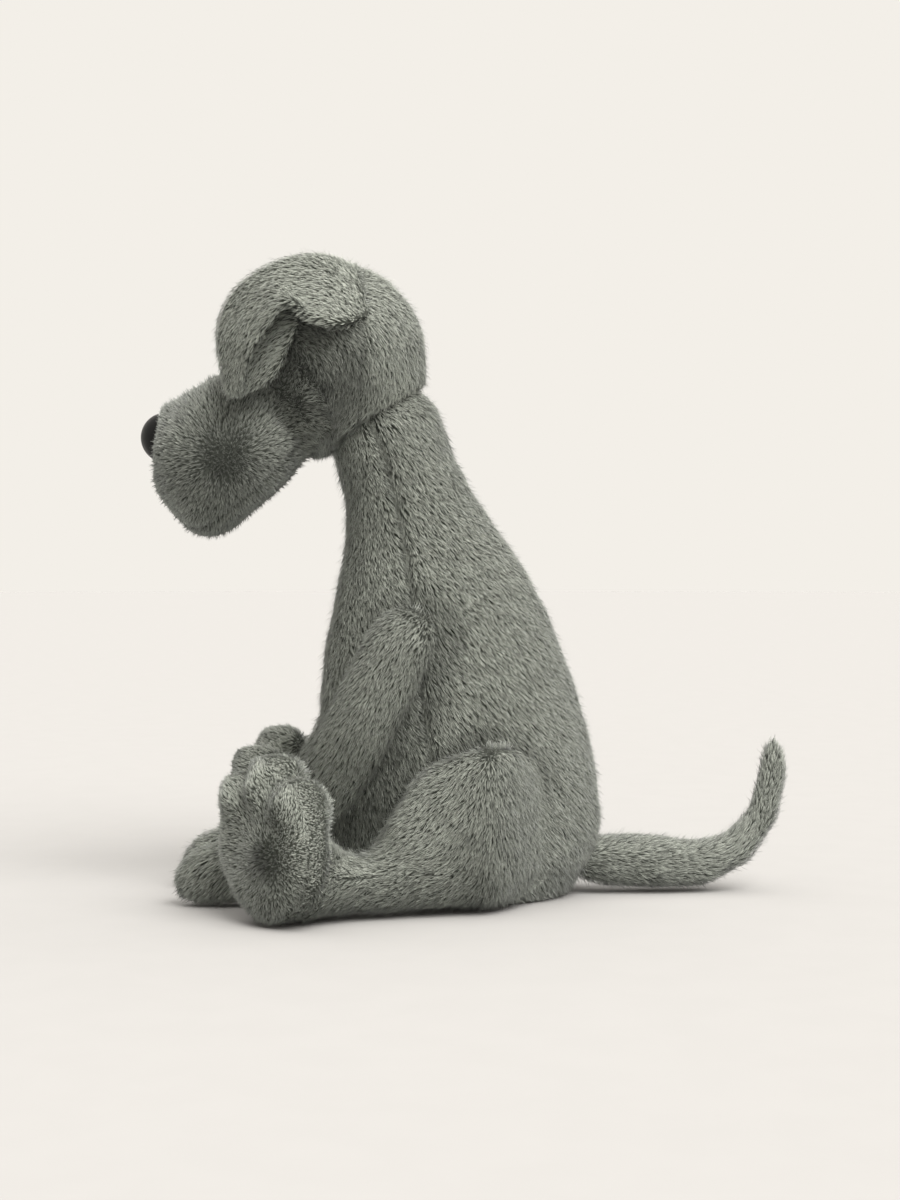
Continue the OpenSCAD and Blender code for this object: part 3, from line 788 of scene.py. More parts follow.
@dataclass
class SoftPart:
    """A stuffed part: a skin over its CAD panels and filling, and the pile on it.

    Patches of the pile's tone are pairs of a depth and a wave length.
    """

    name: str
    body: str
    panels: tuple[str, ...]
    filling: tuple[str, ...]
    seams: tuple[tuple[str, str], ...] = ()
    pile: Pile = Pile()
    comb: Triple = (0.0, 0.3, -0.95)
    slot: str = "plush"
    voxel: float = 1.8 * MM
    rounds: int = 16
    inset: float = 2.6 * MM
    swell: float = 1.6 * MM
    seam_depth: float = 1.0 * MM
    seam_width: float = 2.4 * MM
    full_seam: float = 2.0 * MM
    seam_trim: float = 0.5
    seam_trim_width: float = 0.5
    seam_shade: float = 0.5
    unevenness: float = 0.5 * MM
    uneven_wave: float = 26 * MM
    swirl: float = 0.14
    swirl_wave: float = 17 * MM
    swirl_seed: int = 11
    patches: tuple[Pair, ...] = ((0.06, 9 * MM), (0.05, 3.5 * MM))
    patch_seed: int = 5
    tuft_tone: float = 0.06
    least_share: float = 0.05
    stuffed: float = 0.85
    seed: int = 1

    def shape(self, p: Array, n: Array) -> Array:
        """Adds the part's own forms to its skin; plain here."""
        return p

    def flow(self, p: Array, n: Array) -> Array:
        """Says which way the pile is combed, shorter where it stands up; all one way here."""
        return np.tile(self.comb, (len(p), 1))

    def share(self, p: Array, n: Array) -> Array:
        """Says how long the pile is, as a share; 0 leaves it out."""
        return np.ones(len(p))

    def shade(self, p: Array, n: Array) -> Array:
        """Says how much painted shade darkens the pile, with painted light below 0; nowhere here."""
        return np.zeros(len(p))

    def fused(self) -> Object:
        """Fuses the part's CAD panels and filling into one skin.

        Returns:
            The skin's object.
        """
        rows, faces, first = [], [], 0
        for name in (*self.panels, *self.filling):
            mesh = frame["nodes"][name].data
            p = mesh_points(mesh)
            if name in self.filling:
                p = p + mesh_normals(mesh) * self.swell
            rows.append(p)
            faces.append(mesh_triangles(mesh) + first)
            first += len(p)
        mesh = bpy.data.meshes.new(self.name)
        mesh.from_pydata(np.concatenate(rows).tolist(), [], np.concatenate(faces).tolist())
        made = add_object(self.name, mesh)
        fuse = made.modifiers.new("fuse", "REMESH")
        fuse.mode = "VOXEL"
        fuse.voxel_size = self.voxel
        graph = bpy.context.evaluated_depsgraph_get()
        whole = bpy.data.meshes.new_from_object(made.evaluated_get(graph))
        made.modifiers.clear()
        p, tris = outer_shell(mesh_points(whole), mesh_edges(whole), mesh_triangles(whole))
        skin = bpy.data.meshes.new(self.name)
        skin.from_pydata(p.tolist(), [], tris.tolist())
        made.data = skin
        for old in (mesh, whole):
            bpy.data.meshes.remove(old)
        return made

    def skin(self) -> tuple[Object, KDTree | None]:
        """Makes the part's skin with its seams drawn in.

        Returns:
            The skin's object and the tree of its seams.
        """
        made = self.fused()
        mesh = made.data
        set_points(mesh, smoothed(mesh_points(mesh), mesh_edges(mesh), self.rounds))
        set_points(mesh, self.shape(mesh_points(mesh), mesh_normals(mesh)))
        p, n = mesh_points(mesh), mesh_normals(mesh)
        tree = seam_tree(self.seams)
        drawn = hump(distances(tree, p), self.seam_width) * self.seam_depth
        drawn = drawn + self.inset - self.unevenness * ripple(p, self.uneven_wave, self.seed)
        set_points(mesh, p - n * drawn[:, None])
        mesh.polygons.foreach_set("use_smooth", np.ones(len(mesh.polygons), bool))
        return made, tree

    def hairs(self, made: Object, tree: KDTree | None) -> list[Object]:
        """Grows the part's pile.

        Args:
            made: the part's skin.
            tree: the tree of its seams.

        Returns:
            The pile's objects.
        """
        rng = np.random.default_rng(self.seed)
        mesh = made.data
        p, n = self.pile.roots(mesh_points(mesh), mesh_normals(mesh), mesh_triangles(mesh), rng)
        long = self.share(p, n)
        kept = long > self.least_share
        p, n, long = p[kept], n[kept], long[kept]
        near = hump(distances(tree, p), self.seam_width * self.seam_trim_width)
        near = near * min(1, self.seam_depth / self.full_seam)
        long = long * (1 - self.seam_trim * near)
        swirl = np.stack([ripple(p, self.swirl_wave, self.seed + self.swirl_seed + k) for k in range(3)], 1)
        way = self.flow(p, n) + self.swirl * swirl
        tone = np.full(len(p), 0.5)
        for k, (depth, wave) in enumerate(self.patches):
            tone = tone + depth * ripple(p, wave, self.seed + self.patch_seed + k)
        # The tone holds the painted shade and light of shade(), besides its random patches and the darker seams
        tone = tone - self.seam_shade * near - self.shade(p, n) + rng.normal(0, self.tuft_tone, len(p))
        return self.pile.pieces(f"{self.name}_pile", *self.pile.hair_arrays(p, n, way, long, tone, rng))

    def build(self, looks: dict[str, Material]) -> None:
        """Builds the skin and its pile and lets them ride on their body.

        Args:
            looks: materials by the names plush and backing.
        """
        made, tree = self.skin()
        made.data.materials.append(looks["backing"])
        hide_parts(*self.panels, *self.filling)
        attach(made, self.body)
        grown = self.hairs(made, tree)
        for piece in grown:
            piece.data.materials.append(looks[self.slot])
            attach(piece, self.body)
        count = sum(len(piece.data.polygons) // 2 for piece in grown)
        LOG.info("%s: skin of %d faces, %d hairs", self.name, len(made.data.polygons), count)


@dataclass
class Torso(SoftPart):
    """The body with its chest seams, combed down and back."""

    inset: float = 1.3 * MM
    seam_depth: float = 3.4 * MM
    seam_width: float = 2.0 * MM
    comb: Triple = (0.0, 0.55, -0.85)
    limbs: tuple[str, ...] = ("arm_inner", "leg_outer", "leg_inner")
    # Painted shade beside the limbs and painted light on the chest
    crease_shade: float = 0.3
    crease_reach: Pair = (3 * MM, 17 * MM)
    behind_y: Pair = (22 * MM, 42 * MM)
    behind_z: Pair = (42 * MM, 58 * MM)
    chest_light: float = 0.1
    chest_facing: Pair = (0.2, 0.7)
    in_head_r: float = 38 * MM
    seat_z: float = 3 * MM
    seat_facing: float = 0.7

    def shade(self, p: Array, n: Array) -> Array:
        """Darkens the pile beside the limbs with painted shade, but not behind the thighs, and lightens the chest with
        painted light.

        Args:
            p: places on the skin.
            n: the normals there.

        Returns:
            How much darker the pile is, a place.
        """
        names = [f"{limb}_{side.word}" for limb in self.limbs for side in Side]
        tree = place_tree(np.concatenate([spread_places(frame["nodes"][name].data) for name in names]))
        behind = ease(p[:, 1], *self.behind_y) * (1 - ease(p[:, 2], *self.behind_z))
        crease = self.crease_shade * (1 - ease(distances(tree, p), *self.crease_reach)) * (1 - behind)
        return crease - self.chest_light * ease(-n[:, 1], *self.chest_facing)

    def share(self, p: Array, n: Array) -> Array:
        """Leaves out the pile inside the head and under the seat.

        Args:
            p: places on the skin.
            n: the normals there.

        Returns:
            A share of the pile's length a place; 0 leaves it out.
        """
        inside = far_from(p, skull_middle()) < self.in_head_r
        under = (p[:, 2] < self.seat_z) & (n[:, 2] < -self.seat_facing)
        return np.where(inside | under, 0.0, 1.0)


@dataclass
class Head(SoftPart):
    """The skull and the muzzle. Places are in millimetres, on the left side."""

    rounds: int = 8
    seam_depth: float = 1.3 * MM
    lip_depth: float = 1.8 * MM
    lip_width: float = 3.5 * MM
    lip_back: float = 16 * MM
    lip_start: Pair = (4 * MM, 12 * MM)
    lip_end: Pair = (34 * MM, 50 * MM)
    nose_bed: float = 5.3 * MM
    bed_r: Pair = (13 * MM, 21 * MM)
    bed_back: Pair = (24 * MM, 14 * MM)
    eyes: tuple[str, str] = ("eye_left", "eye_right")
    eye_bed: float = 2.4 * MM
    eye_bed_r: Pair = (8 * MM, 14 * MM)
    eye_bare_r: Pair = (5.5 * MM, 10 * MM)
    skull_r: float = 45.5 * MM
    fold_depth: float = 3.0 * MM
    fold_width: float = 2.5 * MM
    collar: float = 2.2 * MM
    collar_r: Pair = (30 * MM, 42 * MM)
    muzzle_back: float = 8 * MM
    muzzle_top: Pair = (-6 * MM, 4 * MM)
    muzzle_share: float = 0.7
    aside_back: float = 0.4
    aside_down: float = 0.7
    whorl_at: Triple = (30.0, -103.0, 203.0)
    whorl_open: float = 26 * MM
    whorl_reach: Pair = (40 * MM, 58 * MM)
    # Painted shade on the whorls, the cheeks under the ears and the muzzle; painted light on the chin and the nape
    whorl_shade: float = 0.2
    whorl_dark_r: Pair = (4 * MM, 24 * MM)
    cheek_at: Triple = (43.0, -64.0, 240.0)
    cheek_r: Pair = (18 * MM, 36 * MM)
    cheek_shade: float = 0.32
    muzzle_shade: float = 0.2
    chin_light: float = 0.16
    chin_facing: Pair = (0.1, 0.7)
    nape_light: float = 0.22
    nape_y: Pair = (4 * MM, 26 * MM)
    nose_r: float = 10.5 * MM
    nose_back: float = 8 * MM
    rim_trim: float = 0.65
    rim_width: float = 4 * MM
    rim_back: float = 10 * MM
    neck_r: float = 26.5 * MM

    def shape(self, p: Array, n: Array) -> Array:
        """Draws in the seam under the nose and the cheek's fold, fills the collar, and beds the nose and eyes.

        Args:
            p: places on the skin.
            n: the normals there.

        Returns:
            The moved places.
        """
        nose = centre("nose")
        ahead, below = -p[:, 1] + nose[1], nose[2] - p[:, 2]
        low = ease(below, *self.lip_start) * (1 - ease(below, *self.lip_end))
        dent = hump(p[:, 0], self.lip_width) * ease(ahead, -self.lip_back, 0) * low * self.lip_depth
        out = far_from(p, skull_middle())
        fold = hump(out - self.skull_r, self.fold_width) * self.on_muzzle(p) * self.fold_depth
        collar = (1 - ease(far_from(p, joint("neck_nod")[0]), *self.collar_r)) * self.collar
        eyes = sum(1 - ease(far_from(p, centre(eye)), *self.eye_bed_r) for eye in self.eyes)
        moved = p - n * (dent + fold - collar - self.eye_bed * eyes)[:, None]
        bed = 1 - ease(np.hypot(p[:, 0], below), *self.bed_r)
        bed = bed * ease(ahead, *(-far for far in self.bed_back))
        moved[:, 1] += (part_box("nose_washer")[0].y - self.nose_bed - moved[:, 1]) * bed
        return moved

    def on_muzzle(self, p: Array) -> Array:
        """Says how much a place belongs to the muzzle, 0 to 1."""
        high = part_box("muzzle_left")[1]
        return ease(high.y - p[:, 1], 0, self.muzzle_back) * (1 - ease(p[:, 2] - high.z, *self.muzzle_top))

    def whorl(self, p: Array) -> Array:
        """Gives the middle of the cheek on each place's side, from which the muzzle is combed."""
        return np.stack([np.sign(p[:, 0]), np.ones(len(p)), np.ones(len(p))], 1) * np.array(self.whorl_at) * MM

    def flow(self, p: Array, n: Array) -> Array:
        """Combs the skull back and down, and the muzzle out from the middle of each cheek.

        Args:
            p: places on the skin.
            n: the normals there; not used.

        Returns:
            A way a place, shorter where the pile stands up.
        """
        out = p - self.whorl(p)
        far = np.linalg.norm(out, axis=1)
        spin = unit(out) * ease(far, 0.0, self.whorl_open)[:, None]
        rel = (p - skull_middle()) / self.skull_r
        aside = np.abs(rel[:, 0])
        turned = (np.zeros(len(p)), rel[:, 2] + self.aside_back * aside, -rel[:, 1] - self.aside_down * aside)
        back = np.stack(turned, 1)
        return back + (spin - back) * (1 - ease(far, *self.whorl_reach))[:, None]

    def shade(self, p: Array, n: Array) -> Array:
        """Darkens the cheeks under the ears, the muzzle and its whorls with painted shade, and lightens the nape and
        the chin with painted light.

        Args:
            p: places on the skin.
            n: the normals there.

        Returns:
            How much darker the pile is, a place.
        """
        left = np.stack([np.abs(p[:, 0]), p[:, 1], p[:, 2]], 1)
        cheek = 1 - ease(far_from(left, np.array(self.cheek_at) * MM), *self.cheek_r)
        whorl = 1 - ease(far_from(p, self.whorl(p)), *self.whorl_dark_r)
        chin = self.on_muzzle(p) * ease(-n[:, 2], *self.chin_facing)
        nape = ease(p[:, 1] - skull_middle()[1], *self.nape_y)
        dark = self.cheek_shade * cheek + self.muzzle_shade * self.on_muzzle(p) + self.whorl_shade * whorl
        return dark - self.chin_light * chin - self.nape_light * nape

    def share(self, p: Array, n: Array) -> Array:
        """Leaves room for the nose and the eyes, and leaves out the neck's opening.

        Args:
            p: places on the skin.
            n: the normals there; not used.

        Returns:
            A share of the pile's length a place; 0 leaves it out.
        """
        nose = centre("nose")
        from_axis = np.hypot(p[:, 0], p[:, 2] - nose[2])
        at_nose = (from_axis < self.nose_r) & (p[:, 1] < nose[1] + self.nose_back)
        rim = hump(from_axis - self.nose_r, self.rim_width) * (p[:, 1] < nose[1] + self.rim_back)
        long = (1 - (1 - self.muzzle_share) * self.on_muzzle(p)) * (1 - self.rim_trim * rim)
        for eye in self.eyes:
            long = long * ease(far_from(p, centre(eye)), *self.eye_bare_r)
        inside = far_from(p, joint("neck_nod")[0]) < self.neck_r
        return np.where(at_nose | inside, 0.0, long)


@dataclass
class Ear(SoftPart):
    """A folded ear: a sheet that runs from its root over a fold to its tip, open to the back.

    Each row of stations holds, from root to tip, a place on the fold, on the near rim and on the far rim,
    in millimetres and for the left ear.
    """

    rounds: int = 2
    inset: float = 0.0
    unevenness: float = 0.4 * MM
    side: Side = Side.LEFT
    thick: float = 2.4 * MM
    roundness: float = 15 * MM
    along: int = 56
    across: int = 24
    comb_reach: float = 56 * MM
    comb_turn: float = 1.35
    outer_share: float = 0.9
    lining_trim: float = 0.4
    # Painted shade on the lining inside the fold; painted light over the whole ear
    lining_shade: float = 0.3
    lining_facing: Pair = (-0.1, 0.5)
    outer_light: float = 0.17
    stations: tuple[tuple[Triple, ...], ...] = (
        ((21.0, -43.5, 285.0), (37.5, -38.5, 264.0), (12.0, -41.5, 287.0)),
        ((28.0, -61.0, 291.0), (50.5, -51.0, 258.0), (18.0, -60.0, 292.0)),
        ((30.5, -77.0, 288.2), (53.5, -63.0, 259.5), (28.0, -74.0, 283.0)),
        ((32.5, -91.0, 280.3), (54.5, -73.5, 267.0), (41.5, -69.5, 263.0)),
        ((35.0, -101.0, 269.0), (54.0, -84.0, 256.5), (42.5, -74.5, 249.0)),
        ((38.0, -104.5, 253.0), (52.0, -91.0, 244.0), (41.5, -81.0, 236.5)),
        ((40.5, -100.5, 228.5), (46.5, -95.5, 229.0), (40.5, -91.5, 231.0)),
    )

    def line(self, which: int) -> Array:
        """Draws one of the ear's lines smoothly through its stations.

        Args:
            which: 0 for the fold, 1 for the near rim, 2 for the far rim.

        Returns:
            Places from root to tip.
        """
        knots = np.array([row[which] for row in self.stations]) * MM * np.array([self.side.value, 1, 1])
        knots = np.concatenate([2 * knots[:1] - knots[1:2], knots, 2 * knots[-1:] - knots[-2:-1]])
        t = np.linspace(0, len(self.stations) - 1, self.along)
        k = np.minimum(t.astype(int), len(self.stations) - 2)
        a, b, c, d = (knots[k + i] for i in range(4))
        f = (t - k)[:, None]
        return b + 0.5 * f * (c - a + f * (2 * a - 5 * b + 4 * c - d + f * (3 * (b - c) + d - a)))

    def sheet(self) -> Array:
        """Curves a sheet from the far rim over the fold to the near rim.

        Returns:
            Places, rows along the ear by columns across it by 3.
        """
        fold, near, far = (self.line(k)[:, None] for k in range(3))
        out = np.array([self.side.value * self.roundness, 0.0, 0.0])
        f = np.linspace(0, 1, self.across)[None, :, None]
        rise, fall = f * f * (3 - 2 * f), (f - 1) * f * f
        start = f * (1 - f) ** 2
        inner = far * (1 - rise) + fold * rise + start * (fold - far) + fall * out
        outer = fold * (1 - rise) + near * rise + start * out + fall * (near - fold)
        return np.concatenate([inner, outer[:, 1:]], 1)

    def fused(self) -> Object:
        """Makes the folded sheet, which is closed along its edges.

        Returns:
            The sheet's object.
        """
        sheet = self.sheet()
        rows, columns = sheet.shape[:2]
        facing = unit(np.cross(np.gradient(sheet, axis=0), np.gradient(sheet, axis=1))) * self.side.value
        both = [sheet + facing * self.thick / 2, sheet - facing * self.thick / 2]
        number = np.arange(rows * columns).reshape(rows, columns)
        quads = np.stack([number[:-1, :-1], number[1:, :-1], number[1:, 1:], number[:-1, 1:]], 2).reshape(-1, 4)
        edge = np.concatenate([number[0, :-1], number[:-1, -1], number[-1, :0:-1], number[:0:-1, 0]])
        after = np.roll(edge, -1)
        under = rows * columns
        wall = np.stack([edge, after, after + under, edge + under], 1)
        faces = np.concatenate([quads, quads[:, ::-1] + under, wall])
        if self.side is Side.RIGHT:
            faces = faces[:, ::-1]
        mesh = bpy.data.meshes.new(self.name)
        mesh.from_pydata(np.concatenate([b.reshape(-1, 3) for b in both]).tolist(), [], faces.tolist())
        return add_object(self.name, mesh)

    def flow(self, p: Array, n: Array) -> Array:
        """Combs the pile from the root over the fold to the tip.

        Args:
            p: places on the skin.
            n: the normals there; not used.

        Returns:
            A way a place, shorter where the pile stands up.
        """
        t = np.clip((p[:, 1].max() - p[:, 1]) / self.comb_reach, 0, 1)
        turn = self.comb_turn * t**2
        return np.stack([np.zeros(len(p)), -np.cos(turn), -np.sin(turn)], 1)

    def share(self, p: Array, n: Array) -> Array:
        """Shortens the pile of the lining."""
        return self.outer_share - self.lining_trim * self.lining(n)

    def shade(self, p: Array, n: Array) -> Array:
        """Darkens the lining inside the fold with painted shade and lightens the whole ear with painted light."""
        return self.lining_shade * self.lining(n) - self.outer_light

    def lining(self, n: Array) -> Array:
        """Says how much a place faces the head, 0 to 1."""
        return ease(-n[:, 0] * self.side.value, *self.lining_facing)


@dataclass
class Arm(SoftPart):
    """An arm with its paw, sewn to the shoulder."""

    side: Side = Side.LEFT
    seam_depth: float = 0.6 * MM
    sewn_r: float = 10 * MM
    sewn_facing: float = 0.6
    seated: float = 2.5 * MM
    seated_r: Pair = (18 * MM, 44 * MM)
    sunk: float = 4.5 * MM
    sunk_up: Pair = (-8 * MM, 16 * MM)
    paw_y: Pair = (66 * MM, 92 * MM)
    paw_reach: float = 4.0 * MM
    paw_drop: float = 3.0 * MM
    comb_down: Triple = (0.0, -0.5, -0.86)
    comb_out: Triple = (0.0, -0.7, -0.7)
    comb_z: Pair = (30 * MM, 60 * MM)
    top_trim: float = 0.6
    top_up: Pair = (4 * MM, 18 * MM)

    def seam(self) -> tuple[Array, Array]:
        """Gives the shoulder seam's place and the way out from it."""
        place, axis = joint(f"arm_swing_{self.side.word}")
        return place, axis * self.side.value

    def shape(self, p: Array, n: Array) -> Array:
        """Sinks the top of the arm into the shoulder and fills the end of the paw.

        Args:
            p: places on the skin.
            n: the normals there; not used.

        Returns:
            The moved places.
        """
        place, out = self.seam()
        top = ease(p[:, 2] - place[2], *self.sunk_up)
        deep = self.seated * (1 - ease(far_from(p, place), *self.seated_r)) + self.sunk * top
        moved = p - out * deep[:, None]
        paw = ease(-p[:, 1], *self.paw_y)
        moved[:, 1] -= self.paw_reach * paw
        moved[:, 2] -= self.paw_drop * paw
        return moved

    def flow(self, p: Array, n: Array) -> Array:
        """Combs the pile down the arm and out along the paw.

        Args:
            p: places on the skin.
            n: the normals there; not used.

        Returns:
            A way a place, shorter where the pile stands up.
        """
        low = 1 - ease(p[:, 2], *self.comb_z)
        down, out = np.array(self.comb_down), np.array(self.comb_out)
        return down + (out - down) * low[:, None]

    def share(self, p: Array, n: Array) -> Array:
        """Leaves out the pile on the sewn end and shortens it on top.

        Args:
            p: places on the skin.
            n: the normals there.

        Returns:
            A share of the pile's length a place; 0 leaves it out.
        """
        place, out = self.seam()
        sewn = (far_from(p, place) < self.sewn_r) & (n @ out < -self.sewn_facing)
        top = ease(p[:, 2] - place[2], *self.top_up)
        return np.where(sewn, 0.0, 1 - self.top_trim * top)


@dataclass
class Leg(SoftPart):
    """A leg that lies forward, with an upright foot of three toes. Turns about the sole are in degrees."""

    side: Side = Side.LEFT
    swell: float = 2.4 * MM
    seam_depth: float = 0.6 * MM
    splay: float = 40.0
    foot_r: float = 32 * MM
    foot_rim: Pair = (0.35, 0.8)
    foot_depth: Pair = (20 * MM, 32 * MM)
    foot_swell: float = 3.0 * MM
    toe_turns: Triple = (50.0, 92.0, 134.0)
    toe_spread: float = 19.0
    toe_rise: float = 4.5 * MM
    fold_turns: Pair = (71.0, 113.0)
    fold_spread: float = 7.0
    fold_depth: float = 5.0 * MM
    shin_at: float = -44 * MM
    shin_width: float = 15 * MM
    shin_z: Pair = (12 * MM, 30 * MM)
    shin_pinch: float = 0.42
    thigh_at: float = -16 * MM
    thigh_width: float = 17 * MM
    thigh_facing: Pair = (0.1, 0.9)
    thigh_way: Triple = (0.0, -0.5, 0.85)
    thigh_rise: float = 5 * MM
    laid_y: Pair = (2 * MM, 42 * MM)
    sunk: float = 4.4 * MM
    back_sunk: float = 10 * MM
    whorl_up: float = -4 * MM
    whorl_side: float = 5 * MM
    whorl_open: float = 18 * MM
    # Painted shade round the sole's whorl and in the toes' folds; painted light on the foot's rim and the thigh's rear
    whorl_dark_r: Pair = (4 * MM, 22 * MM)
    sole_shade: float = 0.18
    sole_depth: Pair = (4 * MM, 12 * MM)
    fold_shade: float = 0.25
    fold_dark_spread: float = 6.0
    fold_start: Pair = (8 * MM, 16 * MM)
    rim_light: float = 0.06
    rim_start: float = 0.75
    rim_depth: Pair = (16 * MM, 26 * MM)
    rear_light: float = 0.15
    rear_y: Pair = (30 * MM, 44 * MM)
    comb_foot: float = 0.8
    comb_foot_depth: Pair = (16 * MM, 30 * MM)
    comb_leg: Pair = (-0.7, -0.75)
    comb_leg_z: Pair = (15 * MM, 50 * MM)
    comb_rear: Triple = (0.0, 0.3, -0.9)
    comb_rear_y: Pair = (-26 * MM, 36 * MM)
    foot_share: float = 0.58
    foot_share_depth: Pair = (14 * MM, 30 * MM)
    sewn_r: float = 30 * MM
    sewn_facing: float = 0.75

    def hip(self) -> Array:
        """Gives the hip seam's place."""
        return joint(f"leg_lift_{self.side.word}")[0]

    def foot(self) -> tuple[Array, Array, Array]:
        """Gives the sole's middle, the way it faces and the way across it.

        Returns:
            The three, each of them 3 numbers.
        """
        turn = math.radians(self.splay)
        facing = np.array([self.side.value * math.sin(turn), -math.cos(turn), 0.0])
        across = np.array([self.side.value * math.cos(turn), math.sin(turn), 0.0])
        return centre(f"sole_{self.side.word}"), facing, across

    def polar(self, p: Array) -> tuple[Array, Array, Array]:
        """Gives each place's turn about the sole in degrees, distance from its middle and depth behind it.

        Args:
            p: places on the skin.

        Returns:
            The three, each with a value a place.
        """
        middle, facing, across = self.foot()
        rel = p - middle
        side, up = rel @ across, rel[:, 2]
        return np.degrees(np.arctan2(up, side)), np.hypot(side, up), -(rel @ facing)

    def from_whorl(self, p: Array) -> Array:
        """Gives each place's way from the sole's whorl, along the sole.

        Args:
            p: places on the skin.

        Returns:
            A way a place.
        """
        middle, facing, across = self.foot()
        rel = p - middle
        whorl = across * self.whorl_side + np.array([0.0, 0.0, self.whorl_up])
        return rel - (rel @ facing)[:, None] * facing - whorl

    def shape(self, p: Array, n: Array) -> Array:
        """Swells the toes, the folds between them drawn in, pinches the shin and rounds the thigh.

        Args:
            p: places on the skin.
            n: the normals there.

        Returns:
            The moved places.
        """
        turn, far, depth = self.polar(p)
        on_foot = (1 - ease(depth, *self.foot_depth)) * ease(far, *(self.foot_r * share for share in self.foot_rim))
        toes = sum(hump(turn - t, self.toe_spread) for t in self.toe_turns)
        folds = sum(hump(turn - t, self.fold_spread) for t in self.fold_turns)
        moved = p + n * ((self.foot_swell + toes * self.toe_rise - folds * self.fold_depth) * on_foot)[:, None]
        shin = hump(p[:, 1] - self.shin_at, self.shin_width) * ease(p[:, 2], *self.shin_z)
        moved[:, 2] -= self.shin_pinch * shin * (p[:, 2] - self.shin_z[0])
        way = np.array(self.thigh_way)
        bulge = hump(p[:, 1] - self.thigh_at, self.thigh_width) * ease(n @ way, *self.thigh_facing)
        moved += (bulge * self.thigh_rise)[:, None] * way
        return self.laid(moved, n)

    def laid(self, p: Array, n: Array) -> Array:
        """Lays the thigh's rear on the body, so that it runs into it without an edge.

        Args:
            p: the skin's vertices.
            n: the skin's normals.

        Returns:
            The moved vertices.
        """
        side = self.side.value
        mesh = frame["nodes"][f"body_{self.side.word}"].data
        body = BVHTree.FromPolygons(mesh_points(mesh).tolist(), mesh_triangles(mesh).tolist())
        share = ease(p[:, 1] - self.hip()[1], *self.laid_y)
        deep = self.sunk + self.back_sunk * (n[:, 0] * side < 0)
        moved = p.copy()
        for k in np.flatnonzero(share > 0):
            hit = body.ray_cast(Vector((side * FAR, p[k, 1], p[k, 2])), Vector((-side, 0, 0)))[0]
            if hit is not None and (p[k, 0] - hit.x) * side > -deep[k]:
                moved[k, 0] += (hit.x - side * deep[k] - p[k, 0]) * share[k]
        return moved

    def shade(self, p: Array, n: Array) -> Array:
        """Darkens the sole round its whorl and the toes' folds with painted shade, and lightens the rim and the thigh's
        rear with painted light.

        Args:
            p: places on the skin.
            n: the normals there; not used.

        Returns:
            How much darker the pile is, a place.
        """
        turn, far, depth = self.polar(p)
        front = 1 - ease(depth, *self.sole_depth)
        whorl = 1 - ease(np.linalg.norm(self.from_whorl(p), axis=1), *self.whorl_dark_r)
        folds = sum(hump(turn - t, self.fold_dark_spread) for t in self.fold_turns) * ease(far, *self.fold_start)
        rim = ease(far, self.foot_r * self.rim_start, self.foot_r) * (1 - ease(depth, *self.rim_depth))
        dark = (self.sole_shade * whorl + self.fold_shade * folds) * front
        return dark - self.rim_light * rim - self.rear_light * ease(p[:, 1], *self.rear_y)

    def flow(self, p: Array, n: Array) -> Array:
        """Combs the shin forward, the thigh's rear down and the foot outward from its whorl.

        Args:
            p: places on the skin.
            n: the normals there.

        Returns:
            A way a place, shorter where the pile stands up.
        """
        facing = self.foot()[1]
        spread = self.from_whorl(p)
        radial = unit(spread) * ease(np.linalg.norm(spread, axis=1), 0.0, self.whorl_open)[:, None]
        flat = np.abs(n @ facing)[:, None]
        foot = radial * flat + facing * (1 - flat) * self.comb_foot
        on_foot = 1 - ease(self.polar(p)[2], *self.comb_foot_depth)
        forward, down = self.comb_leg
        leg = np.stack([np.zeros(len(p)), np.full(len(p), forward), down * ease(p[:, 2], *self.comb_leg_z)], 1)
        behind = ease(p[:, 1] - self.hip()[1], *self.comb_rear_y)[:, None]
        leg = leg + (np.array(self.comb_rear) - leg) * behind
        return leg + (foot - leg) * on_foot[:, None]

    def share(self, p: Array, n: Array) -> Array:
        """Leaves out the pile on the sewn side and shortens the foot's.

        Args:
            p: places on the skin.
            n: the normals there.

        Returns:
            A share of the pile's length a place; 0 leaves it out.
        """
        sewn = (far_from(p, self.hip()) < self.sewn_r) & (n[:, 0] * self.side.value < -self.sewn_facing)
        long = self.foot_share + (1 - self.foot_share) * ease(self.polar(p)[2], *self.foot_share_depth)
        return np.where(sewn, 0.0, long)


@dataclass
class Tail(SoftPart):
    """The tail, which lies back and curls up."""

    seam_depth: float = 0.5 * MM
    sunk: float = 9 * MM
    sunk_reach: float = 30 * MM
    darker: float = 0.18
    curl: float = 82.0
    curl_y: Pair = (116 * MM, 152 * MM)

    def shape(self, p: Array, n: Array) -> Array:
        """Draws the root into the body.

        Args:
            p: places on the skin.
            n: the normals there; not used.

        Returns:
            The moved places.
        """
        moved = p.copy()
        moved[:, 1] -= self.sunk * (1 - ease(p[:, 1] - p[:, 1].min(), 0.0, self.sunk_reach))
        return moved

    def shade(self, p: Array, n: Array) -> Array:
        """Darkens the whole tail a little."""
        return np.full(len(p), self.darker)

    def flow(self, p: Array, n: Array) -> Array:
        """Combs the pile to the tip."""
        turn = np.radians(self.curl) * ease(p[:, 1], *self.curl_y)
        return np.stack([np.zeros(len(p)), np.cos(turn), np.sin(turn)], 1)


@dataclass
class Buttons:
    """The moulded nose and eyes and what is hidden inside, shown as the CAD has them."""

    glossy: tuple[str, ...] = ("nose", "eye_left", "eye_right")
    hidden: tuple[str, ...] = ("nose_washer", "eye_washer_left", "eye_washer_right")

    def build(self, black: Material, pale: Material) -> None:
        """Dresses the CAD nodes.

        Args:
            black: the moulded black.
            pale: the plastic of the washers.
        """
        for names, look in ((self.glossy, black), (self.hidden, pale)):
            for name in names:
                mesh = frame["nodes"][name].data
                mesh.materials.clear()
                mesh.materials.append(look)
                LOG.info("%s: %s", name, look.name)


